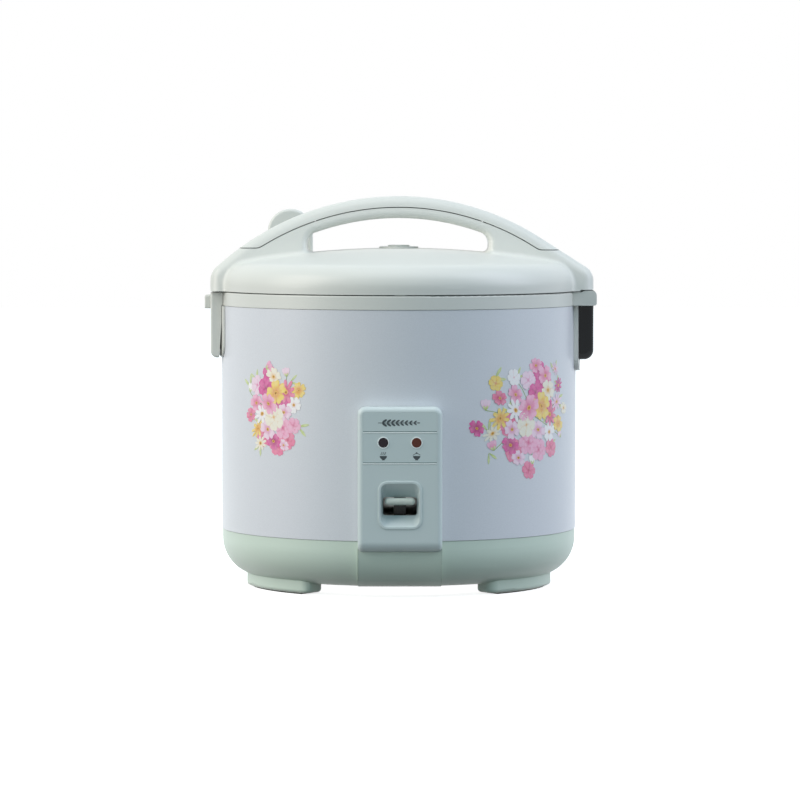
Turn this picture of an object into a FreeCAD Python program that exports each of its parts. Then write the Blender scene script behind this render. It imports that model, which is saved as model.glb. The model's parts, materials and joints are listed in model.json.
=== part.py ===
import FreeCAD, Part
import os
from math import cos, pi, radians, sin, sqrt, tan

# Rice cooker, jar type: a painted steel drum on a plastic base, a hinged lid with its
# own carrying handle, and one lever in a front panel.
# Millimetres. The origin is on the drum's axis in the plane of the feet, +Z is up,
# the front panel faces -Y, the lid's hinge is at +X and its latch at -X.

V = FreeCAD.Vector

# ---------------------------------------------------------------- driving sizes
# general fits
past = 1.0                 # how far a cutter runs past what it cuts
gap = 0.3                  # play between still neighbours
free = 0.4                 # play between parts that move past each other
shaft_play = 0.05          # radial play of a turning shaft
seat_play = 0.02           # radial play of a pin or screw in its seat

# drum, base and rim
shell_r = 122.0
shell_wall = 0.6
shell_height = 153.2
foot_height = 7.0
base_height = 32.0
base_wall = 3.0
base_bend = 26.0           # outer radius of the base's curved-in foot
base_set_in = 0.4          # the base's wall stands this much inside the shell's
frame_height = 9.2
frame_overhang = 0.3
frame_wall = 2.5
lip_length = 6.0           # how far base and rim reach into the shell
lip_wall = 2.5

# lid
lid_seam = 0.6
lid_rise = 29.2
lid_wall = 2.4
gate_r = 4.0               # shallow moulding recess under the roof's middle
gate_depth = 0.4
crown_r = 626.0
shoulder_r = 16.0
rest_tab_width = 7.3

# carrying handle, moulded with the lid
handle_rise = 35.6
handle_left_reach = 7.0    # how far its ends stand outside the shell
handle_right_reach = 11.2
arch_fall_left = 52.0      # the left arch's fall from the top to the handle's end
arch_fall_right = 28.57    # the right arch's fall to where it turns into a straight slope
slope_inset = 35.9         # that turn, inside the handle's right end
handle_thickness = 15.0
handle_half_width = 17.0   # at the top, growing downwards with the draft
handle_draft = 0.22
handle_edge_r = 7.5
left_corner_r = 12.0
right_corner_r = 11.0
opening_left = 63.1
opening_right = 61.8
opening_corner_r = 8.5
opening_edge_r = 4.0
blend_r = 4.0              # hollow round between handle and dome
grip_depth = 7.3           # thickness of the grip cap over the arch
grip_ledge_left = 29.7     # height of the cap's end ledges above the lid's lower edge
grip_ledge_right = 28.4
grip_ledge_r = 8.0
grip_seam = 0.6
grip_rib_half = 8.0        # the cap rests on a rib of this half width, behind the seam
post_wall = 3.0
post_half_width = 15.0

# hinge
hinge_reach = 9.0          # pin axis outside the shell
hinge_drop = 3.0           # pin axis below the rim's top
pin_r = 2.0
ear_reach = 4.1            # ear's end beyond the pin axis
ear_rise = 4.0             # ear's top above the pin axis
ear_bevel = 1.1            # bevel under the ear's end
ear_corner_r = 3.9         # nearly round about the pin, so that the lid's end turns close over it
ear_cap = 2.0              # closed end of the pin's bore in the front ear
knuckle_r = 4.6
ear_half_span = 30.0
ear_width = 9.4
knuckle_inner = 8.0
knuckle_pocket = 6.4
spring_wire = 1.0
spring_turns = 5

# inside the drum
pan_inset = 28.0           # pan's inside wall inside the shell
pan_wall = 2.0
pan_depth = 120.0
pan_corner_r = 24.0
pan_drop = 4.0             # pan's rim below the frame's top
casing_play = 3.8          # casing's outside round the pan's
casing_wall = 0.6
casing_corner_r = 8.0
flange_reach = 2.2         # pan's flange beyond the casing
well_play = 2.0            # rim's well at its ledge, round the flange
well_draft = 1.2
ledge_drop = 7.0
plate_r = 78.0
plate_thickness = 11.0
plate_edge_r = 8.0
plate_standoff = 10.0
post_r = 4.0
post_circle_r = 70.0
post_angles = (60.0, 180.0, 300.0)
element_r = 58.0
element_tube_r = 4.0
band_rise = 56.0           # side heater above the casing's floor
band_height = 40.0
band_wall = 2.0

# thermostat
cap_r = 13.5
cap_wall = 1.2
cap_height = 18.2
cap_flange_r = 16.8
cap_flange_drop = 11.5
ferrite_r = 9.0
ferrite_height = 7.0
magnet_r = 8.5
magnet_height = 3.5
holder_height = 6.8
sleeve_r = 11.0
sleeve_wall = 1.4
stem_r = 3.0
sensor_wire = 1.2
sensor_turns = 4

# control panel
panel_half_width = 28.0
panel_height = 96.4
panel_below = 6.5          # panel's lower edge below the shell's
panel_proud = 8.6
panel_depth = 28.6         # panel's body before its back is cut to the shell
panel_wall = 2.5
panel_corner_r = 5.3
panel_edge_r = 3.4
panel_chin_r = 7.0
inlay_depth = 1.0
inlay_border = 3.6
inlay_groove = 0.5
badge_height = 12.8
indicator_height = 20.1
lens_r = 3.4
lens_spacing = 22.0
lens_drop = 6.6            # lens centre below the indicator plate's top
pocket_rise = 31.5         # pocket's centre above the panel's lower edge
pocket_width = 26.0
pocket_height = 29.0
pocket_depth = 8.0
pocket_ridge = 1.6
ridge_height = 0.5
slot_width = 22.4
slot_height = 12.2
slot_drop = 1.2

# cooking lever
tip_length = 20.0
tip_r = 2.4
tip_inset = 3.6            # tip's axis behind the panel's face
tip_rise = 3.5             # tip's axis above the slot's centre
arm_width = 8.0
arm_thickness = 3.0
crank_inset = 18.5         # upright leg behind the tip
lever_drop = 26.3          # pivot below the tip
pivot_inset = 67.0         # pivot behind the tip
arm_overrun = 4.0
cheek_gap = 10.0
cheek_wall = 2.0
stem_gap = 0.5

# latch, left
latch_reach = 7.0          # lever's outer face outside the shell
latch_wall = 2.0
latch_half_width = 22.0
latch_top_gap = 1.1
latch_length = 44.5
latch_end_r = 4.5
latch_swing = 3.8          # degrees that it turns about its pin
latch_cheek_depth = 4.0    # how far its cheeks reach inside the shell's side line
latch_pivot_drop = 20.5
latch_pin_r = 1.0
latch_hub_r = 2.0
latch_pivot_reach = 3.6
latch_bracket_drop = 35.3  # plate's lower end below the rim
latch_bracket_half = 28.5
bracket_corner_r = 10.0
latch_plate = 1.1
knob_reach = 4.5
knob_drop = 2.0            # knob's top below the latch's
knob_height = 9.2
knob_half_width = 9.0
hook_thickness = 1.5
hook_half_width = 10.0
hook_reach = 2.9
latch_coil_r = 3.0         # small spring behind the latch
latch_wire = 0.8
latch_turns = 2

# dew collector, right
hinge_plate = 2.9
hinge_bracket_drop = 45.0
hinge_bracket_half = 24.0
collector_reach = 8.2
collector_side_depth = 5.0 # how far its sides reach in along the bracket's curve
collector_half_width = 22.0
collector_length = 37.0
collector_wall = 1.6
collector_corner_r = 4.0
collector_bend = 6.4       # round of its lower edge
peg_r = 1.5
peg_spacing = 24.0

# steam cap, standing left behind the handle
steam_x = -75.6
steam_front_y = 42.0
steam_depth = 20.0
steam_cap_width = 31.5
steam_cap_rise = 10.7      # centre of its round head above the dome's crown
steam_cap_wall = 2.0
duct_x = -68.5
duct_y = 50.5
duct_r = 5.5
duct_wall = 1.2

# rear inlet
inlet_half_width = 20.0
inlet_height = 24.0
inlet_bottom_rise = 6.0
inlet_reach = 9.0          # its mouth outside the shell
inlet_depth = 14.0
inlet_pin_r = 2.4
inlet_pin_spacing = 19.0

# ---------------------------------------------------------------- levels and radii
base_bottom = foot_height
base_top = base_bottom + base_height
shell_bottom = base_top + gap
shell_top = shell_bottom + shell_height
frame_bottom = shell_top + gap
frame_top = frame_bottom + frame_height
lid_bottom = frame_top + lid_seam
crown_z = lid_bottom + lid_rise
handle_top = crown_z + handle_rise
shell_inner_r = shell_r - shell_wall
base_r = shell_r - base_set_in
rim_r = shell_r + frame_overhang
pin_x = shell_r + hinge_reach
pin_z = frame_top - hinge_drop
pan_top = frame_top - pan_drop
pan_inner_r = shell_r - pan_inset
pan_r = pan_inner_r + pan_wall
casing_r = pan_r + casing_play
pan_flange_r = casing_r + flange_reach
well_r = pan_flange_r + well_play
pan_bottom = pan_top - pan_depth - pan_wall
plate_top = pan_bottom - gap
plate_bottom = plate_top - plate_thickness
casing_floor = plate_bottom - plate_standoff
casing_top = frame_bottom - seat_play
ledge_z = frame_top - ledge_drop
panel_bottom = shell_bottom - panel_below - gap
panel_top = panel_bottom + panel_height
panel_face = -(shell_r + panel_proud)
pocket_z = panel_bottom + pocket_rise
slot_z = pocket_z - slot_drop
slot_y = panel_face + pocket_depth
tip_y = panel_face + tip_inset
tip_z = slot_z + tip_rise
crank_y = tip_y + crank_inset
pivot_y = tip_y + pivot_inset
pivot_z = tip_z - lever_drop
arm_top = pivot_z + arm_thickness / 2
latch_x = -(shell_r + latch_reach)
latch_top = lid_bottom - latch_top_gap
latch_pin_x = -(shell_r + latch_pivot_reach)
latch_pin_z = latch_top - latch_pivot_drop
inlet_back_y = shell_r + inlet_reach
handle_left = shell_r + handle_left_reach
handle_right = shell_r + handle_right_reach
slope_x = handle_right - slope_inset
arch_r_left = (handle_left ** 2 + arch_fall_left ** 2) / (2 * arch_fall_left)
arch_r_right = (slope_x ** 2 + arch_fall_right ** 2) / (2 * arch_fall_right)
left_arch_z = handle_top - arch_r_left
right_arch_z = handle_top - arch_r_right


# ---------------------------------------------------------------- shape helpers
def box(x0, x1, y0, y1, z0, z1):
    """Box between two corners."""
    return Part.makeBox(x1 - x0, y1 - y0, z1 - z0, V(x0, y0, z0))


def rod(radius, start, end):
    """Round bar between two points."""
    return Part.makeCylinder(radius, (end - start).Length, start, end - start)


def disc(radius, z0, z1, x=0.0, y=0.0):
    """Upright cylinder."""
    return rod(radius, V(x, y, z0), V(x, y, z1))


def ring(outer, inner, z0, z1, x=0.0, y=0.0):
    """Upright tube."""
    return disc(outer, z0, z1, x, y).cut(disc(inner, z0 - past, z1 + past, x, y))


def across(radius, x, z, y0, y1):
    """Cylinder along Y."""
    return rod(radius, V(x, y0, z), V(x, y1, z))


def around(radius, degrees_from_front):
    """Point in plan, by its radius and its angle from the front towards +X."""
    turn = radians(degrees_from_front)
    return radius * sin(turn), -radius * cos(turn)


def outline(corners, place):
    """Face inside (u, v, radius) corners, each rounded by its own radius."""
    points = [V(u, v, 0) for u, v, _ in corners]
    stretches = []
    for index, (point, corner) in enumerate(zip(points, corners)):
        back = (points[index - 1] - point).normalize()
        ahead = (points[(index + 1) % len(points)] - point).normalize()
        radius = corner[2]
        half = back.getAngle(ahead) / 2
        reach = radius / tan(half)
        middle = point
        if radius > 0:
            middle = point + (back + ahead).normalize() * (radius / sin(half) - radius)
        stretches.append((point + back * reach, middle, point + ahead * reach))
    edges = []
    for index, (entry, middle, leave) in enumerate(stretches):
        following = stretches[(index + 1) % len(stretches)][0]
        if corners[index][2] > 0:
            edges.append(Part.Arc(place(entry), place(middle), place(leave)).toShape())
        if (following - leave).Length > Part.Precision.confusion():
            edges.append(Part.LineSegment(place(leave), place(following)).toShape())
    return Part.Face(Part.Wire(edges))


def along_x(corners, x0, x1):
    """Outline in (y, z), drawn out along X."""
    face = outline(corners, lambda p: V(x0, p.x, p.y))
    return face.extrude(V(x1 - x0, 0, 0))


def along_y(corners, y0, y1):
    """Outline in (x, z), drawn out along Y."""
    face = outline(corners, lambda p: V(p.x, y0, p.y))
    return face.extrude(V(0, y1 - y0, 0))


def along_z(corners, z0, z1):
    """Outline in (x, y), drawn out along Z."""
    face = outline(corners, lambda p: V(p.x, p.y, z0))
    return face.extrude(V(0, 0, z1 - z0))


def turned(corners):
    """Outline in (r, z), turned about the Z axis."""
    face = outline(corners, lambda p: V(p.x, 0, p.y))
    return face.revolve(V(0, 0, 0), V(0, 0, 1), 360)


def rectangle(u0, u1, v0, v1, radius):
    """Corners of a rounded rectangle."""
    return [(u0, v0, radius), (u1, v0, radius), (u1, v1, radius), (u0, v1, radius)]


def sector(r0, r1, from_angle, to_angle, z0, z1):
    """Piece of an upright ring, between two angles from the front."""
    half = (from_angle + to_angle) / 2
    spots = [V(*around(r, a), z0) for r in (r0, r1) for a in (from_angle, half, to_angle)]
    inner = Part.Arc(spots[0], spots[1], spots[2]).toShape()
    outer = Part.Arc(spots[3], spots[4], spots[5]).toShape()
    sides = [Part.LineSegment(spots[i], spots[i + 3]).toShape() for i in (0, 2)]
    wire = Part.Wire(Part.__sortEdges__([inner, outer] + sides))
    return Part.Face(wire).extrude(V(0, 0, z1 - z0))


def edges_where(solid, test):
    """Edges whose middle point passes a test."""
    chosen = []
    for edge in solid.Edges:
        middle = edge.valueAt((edge.FirstParameter + edge.LastParameter) / 2)
        if test(middle):
            chosen.append(edge)
    return chosen


def rounded(solid, radius, test):
    """Solid with the edges that pass a test rounded."""
    return solid.makeFillet(radius, edges_where(solid, test))


def on_both(first, second):
    """Test for points that lie on the skins of two solids."""
    near = gap / 100
    skins = [first.Shells[0], second.Shells[0]]
    return lambda point: all(
        skin.distToShape(Part.Vertex(point))[0] < near for skin in skins)


def joined(*solids):
    """One clean solid from several."""
    return solids[0].multiFuse(list(solids[1:])).removeSplitter()


def coil(mean_r, wire_r, height, turns):
    """Helical wire spring standing on the origin, its turns inside the height."""
    rise = height - 2 * wire_r
    helix = Part.makeHelix(rise / turns, rise, mean_r)
    profile = Part.Wire(Part.makeCircle(wire_r, V(mean_r, 0, 0), V(0, 1, 0)))
    spring = Part.Wire(helix).makePipeShell([profile], True, True)
    spring.translate(V(0, 0, wire_r))
    return Part.Solid(spring) if spring.ShapeType == "Shell" else spring.Solids[0]


def turned_to(solid, direction, at):
    """A solid made along +Z, laid along a direction from a point."""
    solid = solid.copy()
    solid.Placement = FreeCAD.Placement(at, FreeCAD.Rotation(V(0, 0, 1), direction))
    return solid


def screw(head_r, head_height, shank_r, length, at, direction):
    """Screw with its head's underside at a point and its shank along a direction."""
    bolt = joined(disc(head_r, -head_height, 0), disc(shank_r, 0, length))
    recess_r = head_r / 3
    bolt = bolt.cut(disc(recess_r, -head_height - past, -head_height / 2))
    return turned_to(bolt, direction, at)


def hole(radius, depth, at, direction):
    """Cutter for a hole that starts at a point and runs both ways along a direction."""
    return turned_to(disc(radius, -depth, depth), direction, at)


def save(name, *solids):
    """Write one sub-part."""
    pieces = [piece for solid in solids for piece in solid.Solids]
    for piece in pieces:
        if not piece.isValid():
            print("not valid:", name)
    shape = pieces[0] if len(pieces) == 1 else Part.makeCompound(pieces)
    shape.exportStep("parts/" + name + ".step")
    print(name, len(pieces), round(shape.Volume))


# ---------------------------------------------------------------- base
cover_inset = 11.0         # bottom cover's edge inside the base's bend
cover_ledge = 4.6          # ledge that the cover rests on
foot_inset = 3.4           # feet outside the cover's edge
foot_width = 18.8
foot_angles = (35.0, 80.0)
foot_corner_r = 6.0
foot_edge_r = 2.5
foot_lift = 1.0            # plastic foot above the rubber pad's face
pad_inset = 4.0
pad_angle_inset = 5.0
pad_recess = 1.0
cover_thickness = 1.5
cover_screw_r = 1.5
cover_screw_head = 3.0
cover_screw_angles = (45.0, 135.0, 225.0, 315.0)
boss_r = 4.0
boss_height = 10.0
cover_r = base_r - base_bend - cover_inset
floor_r = cover_r - cover_ledge
cover_screw_circle = (cover_r + floor_r) / 2
foot_r0 = cover_r + foot_inset
foot_r1 = foot_r0 + foot_width
front_cut_half = panel_half_width - gap / 6
cover_top = base_bottom + cover_thickness


def foot_spans():
    """Angles of the four feet, from the front."""
    first, last = foot_angles
    return [(first, last), (-last, -first), (180 - last, 180 - first), (180 + first, 180 + last)]


def foot(from_angle, to_angle):
    """One moulded foot with rounded corners and a recess for its pad."""
    top = base_bottom + base_wall - seat_play * 10
    block = sector(foot_r0, foot_r1, from_angle, to_angle, foot_lift, top)
    upright = edges_where(block, lambda p: abs(p.z - (foot_lift + top) / 2) < gap)
    corners = [edge for edge in upright if edge.BoundBox.ZLength > foot_lift]
    block = block.makeFillet(foot_corner_r, corners)
    lower = edges_where(block, lambda p: p.z < foot_lift + gap)
    block = block.makeFillet(foot_edge_r, lower)
    return block.cut(pad(from_angle, to_angle, gap))


def pad(from_angle, to_angle, grow):
    """One rubber foot pad, or with grow the recess that takes it."""
    spread = grow / foot_r0 * 180 / pi
    r0 = foot_r0 + pad_inset - grow
    r1 = foot_r1 - pad_inset + grow
    a0 = from_angle + pad_angle_inset - spread
    a1 = to_angle - pad_angle_inset + spread
    return sector(r0, r1, a0, a1, 0, foot_lift + pad_recess)


def base_ring():
    """The base's turned wall with the lip that reaches into the shell."""
    lip_r = base_r - gap - seat_play * 10
    inner_r = lip_r - lip_wall
    inner_bend = base_bend - (base_r - inner_r)
    ledge = base_bottom + cover_thickness
    return turned([
        (floor_r, ledge, 0), (cover_r + free, ledge, 0), (cover_r + free, base_bottom, 0),
        (base_r, base_bottom, base_bend), (base_r, base_top, 0), (lip_r, base_top, 0),
        (lip_r, base_top + lip_length, 0), (inner_r, base_top + lip_length, 0),
        (inner_r, base_bottom + base_wall, inner_bend), (floor_r, base_bottom + base_wall, 0)])


def cover_screw_places():
    """Plan points of the screws that hold the bottom cover."""
    return [around(cover_screw_circle, angle) for angle in cover_screw_angles]


def base_housing():
    """Base with feet, screw bosses, front cut-out and the inlet's window."""
    body = joined(base_ring(), *[foot(*span) for span in foot_spans()])
    floor = base_bottom + base_wall
    bosses = [disc(boss_r, floor - past / 2, floor + boss_height, x, y)
              for x, y in cover_screw_places()]
    body = joined(body, *bosses)
    for x, y in cover_screw_places():
        body = body.cut(disc(cover_screw_r + seat_play, 0, floor + boss_height - past, x, y))
    cut_back = -(base_r - base_bend - cover_thickness)
    front = box(-front_cut_half, front_cut_half, -rim_r, cut_back, 0, base_top)
    window = inlet_block(gap)
    return body.cut(front).cut(window).cut(pads_space())


def pads_space():
    """Room for all pads."""
    spans = foot_spans()
    return pad(*spans[0], gap).multiFuse([pad(*span, gap) for span in spans[1:]])


def base_front_cover():
    """Flat-fronted insert in the base below the panel, a tray with closed sides."""
    half = front_cut_half - gap * 2 / 3
    front = -(base_r + past)
    back = -(base_r - base_bend - cover_thickness) - gap
    rib = 8.0
    wall = base_wall - seat_play * 25
    outer = [(front, base_top, 0), (front, base_bottom, base_bend),
             (back, base_bottom, 0), (back, base_bottom + rib, 0),
             (front + rib, base_bottom + rib, base_bend - rib), (front + rib, base_top, 0)]
    hollow = [(front + wall, base_top + past, 0),
              (front + wall, base_bottom + wall, base_bend - wall),
              (back + past, base_bottom + wall, 0), (back + past, base_bottom + base_bend, 0),
              (front + base_bend, base_top + past, 0)]
    inner = half - wall
    return along_x(outer, -half, half).cut(along_x(hollow, -inner, inner))


vent_length = 26.0
vent_width = 2.5
vent_pitch = 7.0
vent_count = 5


def bottom_cover():
    """Round steel cover under the base, with two fields of vent slots."""
    plate = disc(cover_r, base_bottom, cover_top)
    for x, y in cover_screw_places():
        plate = plate.cut(disc(cover_screw_r + gap, 0, cover_top + past, x, y))
    for side in (-1, 1):
        for row in range(vent_count):
            y = side * (vent_pitch * (row + 3))
            slot = rectangle(-vent_length / 2, vent_length / 2, y, y + vent_width, vent_width / 2 - gap)
            plate = plate.cut(along_z(slot, 0, cover_top + past))
    return plate


def base_screws():
    """Four screws that hold the bottom cover."""
    up = V(0, 0, 1)
    length = boss_height + base_wall - 2 * past
    head = cover_thickness
    return [screw(cover_screw_head, head, cover_screw_r, length, V(x, y, base_bottom), up)
            for x, y in cover_screw_places()]


# ---------------------------------------------------------------- inlet
def inlet_block(grow):
    """Outside of the power inlet, or with grow the window that takes it."""
    half = inlet_half_width + grow
    low = base_bottom + inlet_bottom_rise - grow
    high = low + inlet_height + 2 * grow
    corner_r = 4.0
    front = base_r - base_bend
    return along_y(rectangle(-half, half, low, high, corner_r), front, inlet_back_y)


def power_inlet():
    """Shrouded appliance inlet with two round pins."""
    wall = 2.5
    low = base_bottom + inlet_bottom_rise + wall
    high = low + inlet_height - 2 * wall
    half = inlet_half_width - wall
    mouth = rectangle(-half, half, low, high, wall)
    cavity = along_y(mouth, inlet_back_y - inlet_depth, inlet_back_y + past)
    shroud = inlet_block(0).cut(cavity)
    for x in (-inlet_pin_spacing / 2, inlet_pin_spacing / 2):
        shroud = shroud.cut(inlet_pin(x, seat_play))
    return shroud


def inlet_pin(x, grow):
    """One contact pin through the inlet's back wall."""
    z = base_bottom + inlet_bottom_rise + inlet_height / 2
    tail = 6.0
    start = base_r - base_bend - tail - grow
    end = inlet_back_y - 2 * past
    return across(inlet_pin_r + grow, x, z, start, end)


def terminal_block():
    """Screw terminal block for the mains leads, on the bottom cover."""
    width, depth, height = 26.0, 14.0, 13.0
    x, y = 20.0, 50.0
    block = box(x, x + width, y - depth / 2, y + depth / 2, cover_top, cover_top + height)
    ways = 3
    pitch = width / ways
    for way in range(ways):
        centre = x + pitch * (way + 1 / 2)
        block = block.cut(disc(pitch / 3, cover_top + height / 2, cover_top + height + past, centre, y))
    return block


# ---------------------------------------------------------------- shell and rim
cutout_half = 22.0
cutout_bottom = 5.7        # above the shell's lower edge
cutout_top_drop = 5.8      # below the panel's top


def outer_shell():
    """Painted steel drum with the window behind the panel."""
    drum = ring(shell_r, shell_inner_r, shell_bottom, shell_top)
    window = box(-cutout_half, cutout_half, -shell_r - past, 0,
                 shell_bottom + cutout_bottom, panel_top - cutout_top_drop)
    drum = drum.cut(window)
    for spot, direction in bracket_screw_places():
        drum = drum.cut(hole(bracket_screw_r + gap, shell_wall * 20, spot, direction))
    return drum


def frame_ring():
    """Turned rim: outer skirt, top, well for the pan's flange, inner skirt, lip."""
    lip_r = shell_inner_r - gap
    skirt_r = casing_r - casing_wall - gap * 2 / 3
    inner_skirt_r = pan_r + gap * 4
    top_fall = 2.2
    ledge_wall = 2.0
    skirt_length = 9.0
    return turned([
        (rim_r, frame_bottom, 0), (rim_r, frame_top, 1.0),
        (well_r + well_draft, frame_top, 1.5), (well_r, ledge_z, 0),
        (inner_skirt_r, ledge_z, 0.8), (inner_skirt_r, ledge_z - skirt_length, 0),
        (skirt_r, ledge_z - skirt_length, 0), (skirt_r, ledge_z - ledge_wall, 0),
        (well_r + frame_wall, ledge_z - ledge_wall, 0),
        (well_r + frame_wall + well_draft, frame_top - top_fall, 0),
        (lip_r - lip_wall / 2, frame_top - top_fall, 0),
        (lip_r - lip_wall / 2, frame_bottom - lip_length, 0),
        (lip_r, frame_bottom - lip_length, 0), (lip_r, frame_bottom, 0)])


def hinge_block():
    """Block and ears on the rim that carry the hinge pin."""
    root = shell_r - 14.0
    end = pin_x + ear_reach
    side = [(root, frame_bottom, 0), (end - ear_bevel, frame_bottom, 0),
            (end, frame_bottom + ear_bevel, 0), (end, pin_z + ear_rise, ear_corner_r),
            (pin_x - ear_reach, pin_z + ear_rise, ear_corner_r),
            (pin_x - knuckle_pocket, frame_top, 0), (root, frame_top, 0)]
    body = along_y(side, -ear_half_span, ear_half_span)
    body = body.cut(disc(lip_inside(), 0, frame_top - past))
    inner = ear_half_span - ear_width
    pocket = box(pin_x - knuckle_pocket, end + past, -inner, inner,
                 frame_bottom - past, pin_z + 2 * ear_rise)
    return body.cut(pocket)


def lip_inside():
    """Inner radius of the rim's lip."""
    return shell_inner_r - gap - lip_wall / 2


def upper_frame():
    """Rim frame with the hinge's ears."""
    body = joined(frame_ring(), hinge_block())
    bore = across(pin_r + seat_play, pin_x, pin_z, ear_cap - ear_half_span, ear_half_span + past)
    return body.cut(bore)


def hinge_pin():
    """Steel pin through the rear ear and the knuckles into the front ear, with bevelled ends."""
    half = ear_half_span - gap
    pin = across(pin_r, pin_x, pin_z, ear_cap - half, half)
    return pin.makeChamfer(gap, pin.Edges)


def hinge_spring():
    """Torsion spring round the hinge pin that lifts the lid."""
    mean_r = pin_r + spring_wire * 1.4
    length = 2 * (knuckle_inner - 2 * gap)
    body = coil(mean_r, spring_wire / 2, length, spring_turns)
    return turned_to(body, V(0, 1, 0), V(pin_x, -length / 2, pin_z))


# ---------------------------------------------------------------- cooking chamber
def inner_casing():
    """Thin steel can round the pan, with a floor under the heating plate."""
    inner_r = casing_r - casing_wall
    outer_floor = casing_floor - casing_wall
    can = turned([
        (sleeve_r + gap, outer_floor, 0), (casing_r, outer_floor, casing_corner_r),
        (casing_r, casing_top, 0), (inner_r, casing_top, 0),
        (inner_r, casing_floor, casing_corner_r - casing_wall), (sleeve_r + gap, casing_floor, 0)])
    for x in terminal_xs():
        can = can.cut(disc(terminal_r + past, outer_floor - past, casing_floor + past, x, element_r))
    return can


def casing_posts():
    """Three posts between the bottom cover and the casing's floor."""
    return [disc(post_r, cover_top, casing_floor - casing_wall, *around(post_circle_r, angle))
            for angle in post_angles]


def plate_standoffs():
    """Three standoffs under the heating plate."""
    return [disc(post_r, casing_floor, plate_bottom, *around(post_circle_r, angle))
            for angle in post_angles]


def heating_plate():
    """Cast aluminium plate with a hole for the sensor and a groove for the element."""
    bore = cap_r + past
    plate = turned([(bore, plate_bottom, 0), (plate_r, plate_bottom, 2.0),
                    (plate_r, plate_top, plate_edge_r), (bore, plate_top, 0)])
    groove = Part.makeTorus(element_r, element_tube_r + seat_play, V(0, 0, plate_bottom))
    return plate.cut(groove)


terminal_r = 2.2
terminal_spacing = 16.0
terminal_drop = 12.0


def terminal_xs():
    """Places of the element's two ends along X."""
    return (-terminal_spacing / 2, terminal_spacing / 2)


def heating_element():
    """Tubular heater, nearly a full turn, with two ends that run down through the floor."""
    loop = Part.makeTorus(element_r, element_tube_r, V(0, 0, plate_bottom))
    half = terminal_spacing / 2 - element_tube_r / 2
    loop = loop.cut(box(-half, half, 0, element_r * 2, plate_bottom - element_r, plate_bottom + element_r))
    ends = [disc(terminal_r, casing_floor - terminal_drop, plate_bottom, x, element_r)
            for x in terminal_xs()]
    return joined(loop, *ends)


def side_heater_band():
    """Belt heater that keeps the rice warm, round the casing."""
    bottom = casing_floor + band_rise
    return ring(casing_r + band_wall, casing_r, bottom, bottom + band_height)


def thermal_fuse():
    """Safety fuse against the casing's floor."""
    fuse_r, length = 2.0, 14.0
    x, y = 32.0, -20.0
    z = casing_floor - casing_wall - fuse_r
    return rod(fuse_r, V(x, y, z), V(x + length, y, z))


# ---------------------------------------------------------------- thermostat
cap_top = plate_top
cap_bottom = cap_top - cap_height
flange_top = cap_top - cap_flange_drop
flange_thickness = 1.2
ferrite_bottom = cap_top - cap_wall - ferrite_height
sensor_travel = 2.5
lever_angle = 4.8
magnet_travel = (stem_r - pivot_y) * tan(radians(lever_angle))
magnet_top = ferrite_bottom - sensor_travel - magnet_travel - free
magnet_bottom = magnet_top - magnet_height
holder_bottom = magnet_bottom - holder_height
sleeve_bottom = holder_bottom - gap - sleeve_wall / 2
stem_bottom = arm_top + stem_gap


def sensor_cap():
    """Aluminium cup that the pan presses down, with a flange over its spring."""
    cup = rounded(disc(cap_r, cap_bottom, cap_top), past, lambda p: p.z > cap_top - gap)
    cup = joined(cup, disc(cap_flange_r, flange_top - flange_thickness, flange_top))
    return cup.cut(disc(cap_r - cap_wall, cap_bottom - past, cap_top - cap_wall))


def ferrite_disc():
    """Heat-sensitive ferrite under the cup's top."""
    return disc(ferrite_r, ferrite_bottom, cap_top - cap_wall)


def sensor_spring():
    """Coil spring between the casing's floor and the cup's flange."""
    mean_r = cap_r + sensor_wire * 1.4
    height = flange_top - flange_thickness - casing_floor
    spring = coil(mean_r, sensor_wire / 2, height, sensor_turns)
    spring.translate(V(0, 0, casing_floor))
    return spring


def thermostat_sleeve():
    """Guide for the magnet holder, hung from the casing's floor."""
    outer_floor = casing_floor - casing_wall
    top = cap_bottom + 2.0
    tube = disc(sleeve_r, sleeve_bottom, top)
    flange = disc(sleeve_r * 2, outer_floor - sleeve_wall, outer_floor)
    body = joined(tube, flange)
    body = body.cut(disc(sleeve_r - sleeve_wall, holder_bottom - gap, top + past))
    return body.cut(disc(stem_r + free, 0, top))


def magnet_holder():
    """Holder with a stem that the lever's arm lifts."""
    cup = disc(magnet_r + gap, holder_bottom, magnet_bottom)
    return joined(cup, disc(stem_r, stem_bottom, magnet_bottom))


def magnet():
    """Permanent magnet on its holder."""
    return disc(magnet_r, magnet_bottom, magnet_top)


# ---------------------------------------------------------------- pan
def inner_pan():
    """Non-stick aluminium pan with a flange."""
    rim = pan_top
    flange = 2.0
    inner_bottom = pan_bottom + pan_wall
    return turned([
        (0, pan_bottom, 0), (pan_r, pan_bottom, pan_corner_r), (pan_r, rim - flange, past),
        (pan_flange_r, rim - flange, flange / 3), (pan_flange_r, rim, flange / 3),
        (pan_inner_r, rim, past), (pan_inner_r, inner_bottom, pan_corner_r - pan_wall),
        (0, inner_bottom, 0)])


# ---------------------------------------------------------------- control panel
def panel_outside():
    """Raised panel body: rounded rim, chin, and a back that follows the shell."""
    back = panel_face + panel_depth
    side = [(panel_face, panel_bottom, panel_chin_r), (back, panel_bottom, 0),
            (back, panel_top, 0), (panel_face, panel_top, 0)]
    body = along_x(side, -panel_half_width, panel_half_width)
    edge = panel_half_width - gap
    corners = edges_where(body, lambda p: abs(p.x) > edge and p.z > panel_top - gap)
    body = body.makeFillet(panel_corner_r, corners)
    front = panel_face + panel_edge_r
    middle = panel_bottom + panel_height / 2
    rims = edges_where(body, lambda p: p.y < front and (abs(p.x) > edge or p.z > middle))
    return body.makeFillet(panel_edge_r, rims)


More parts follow.
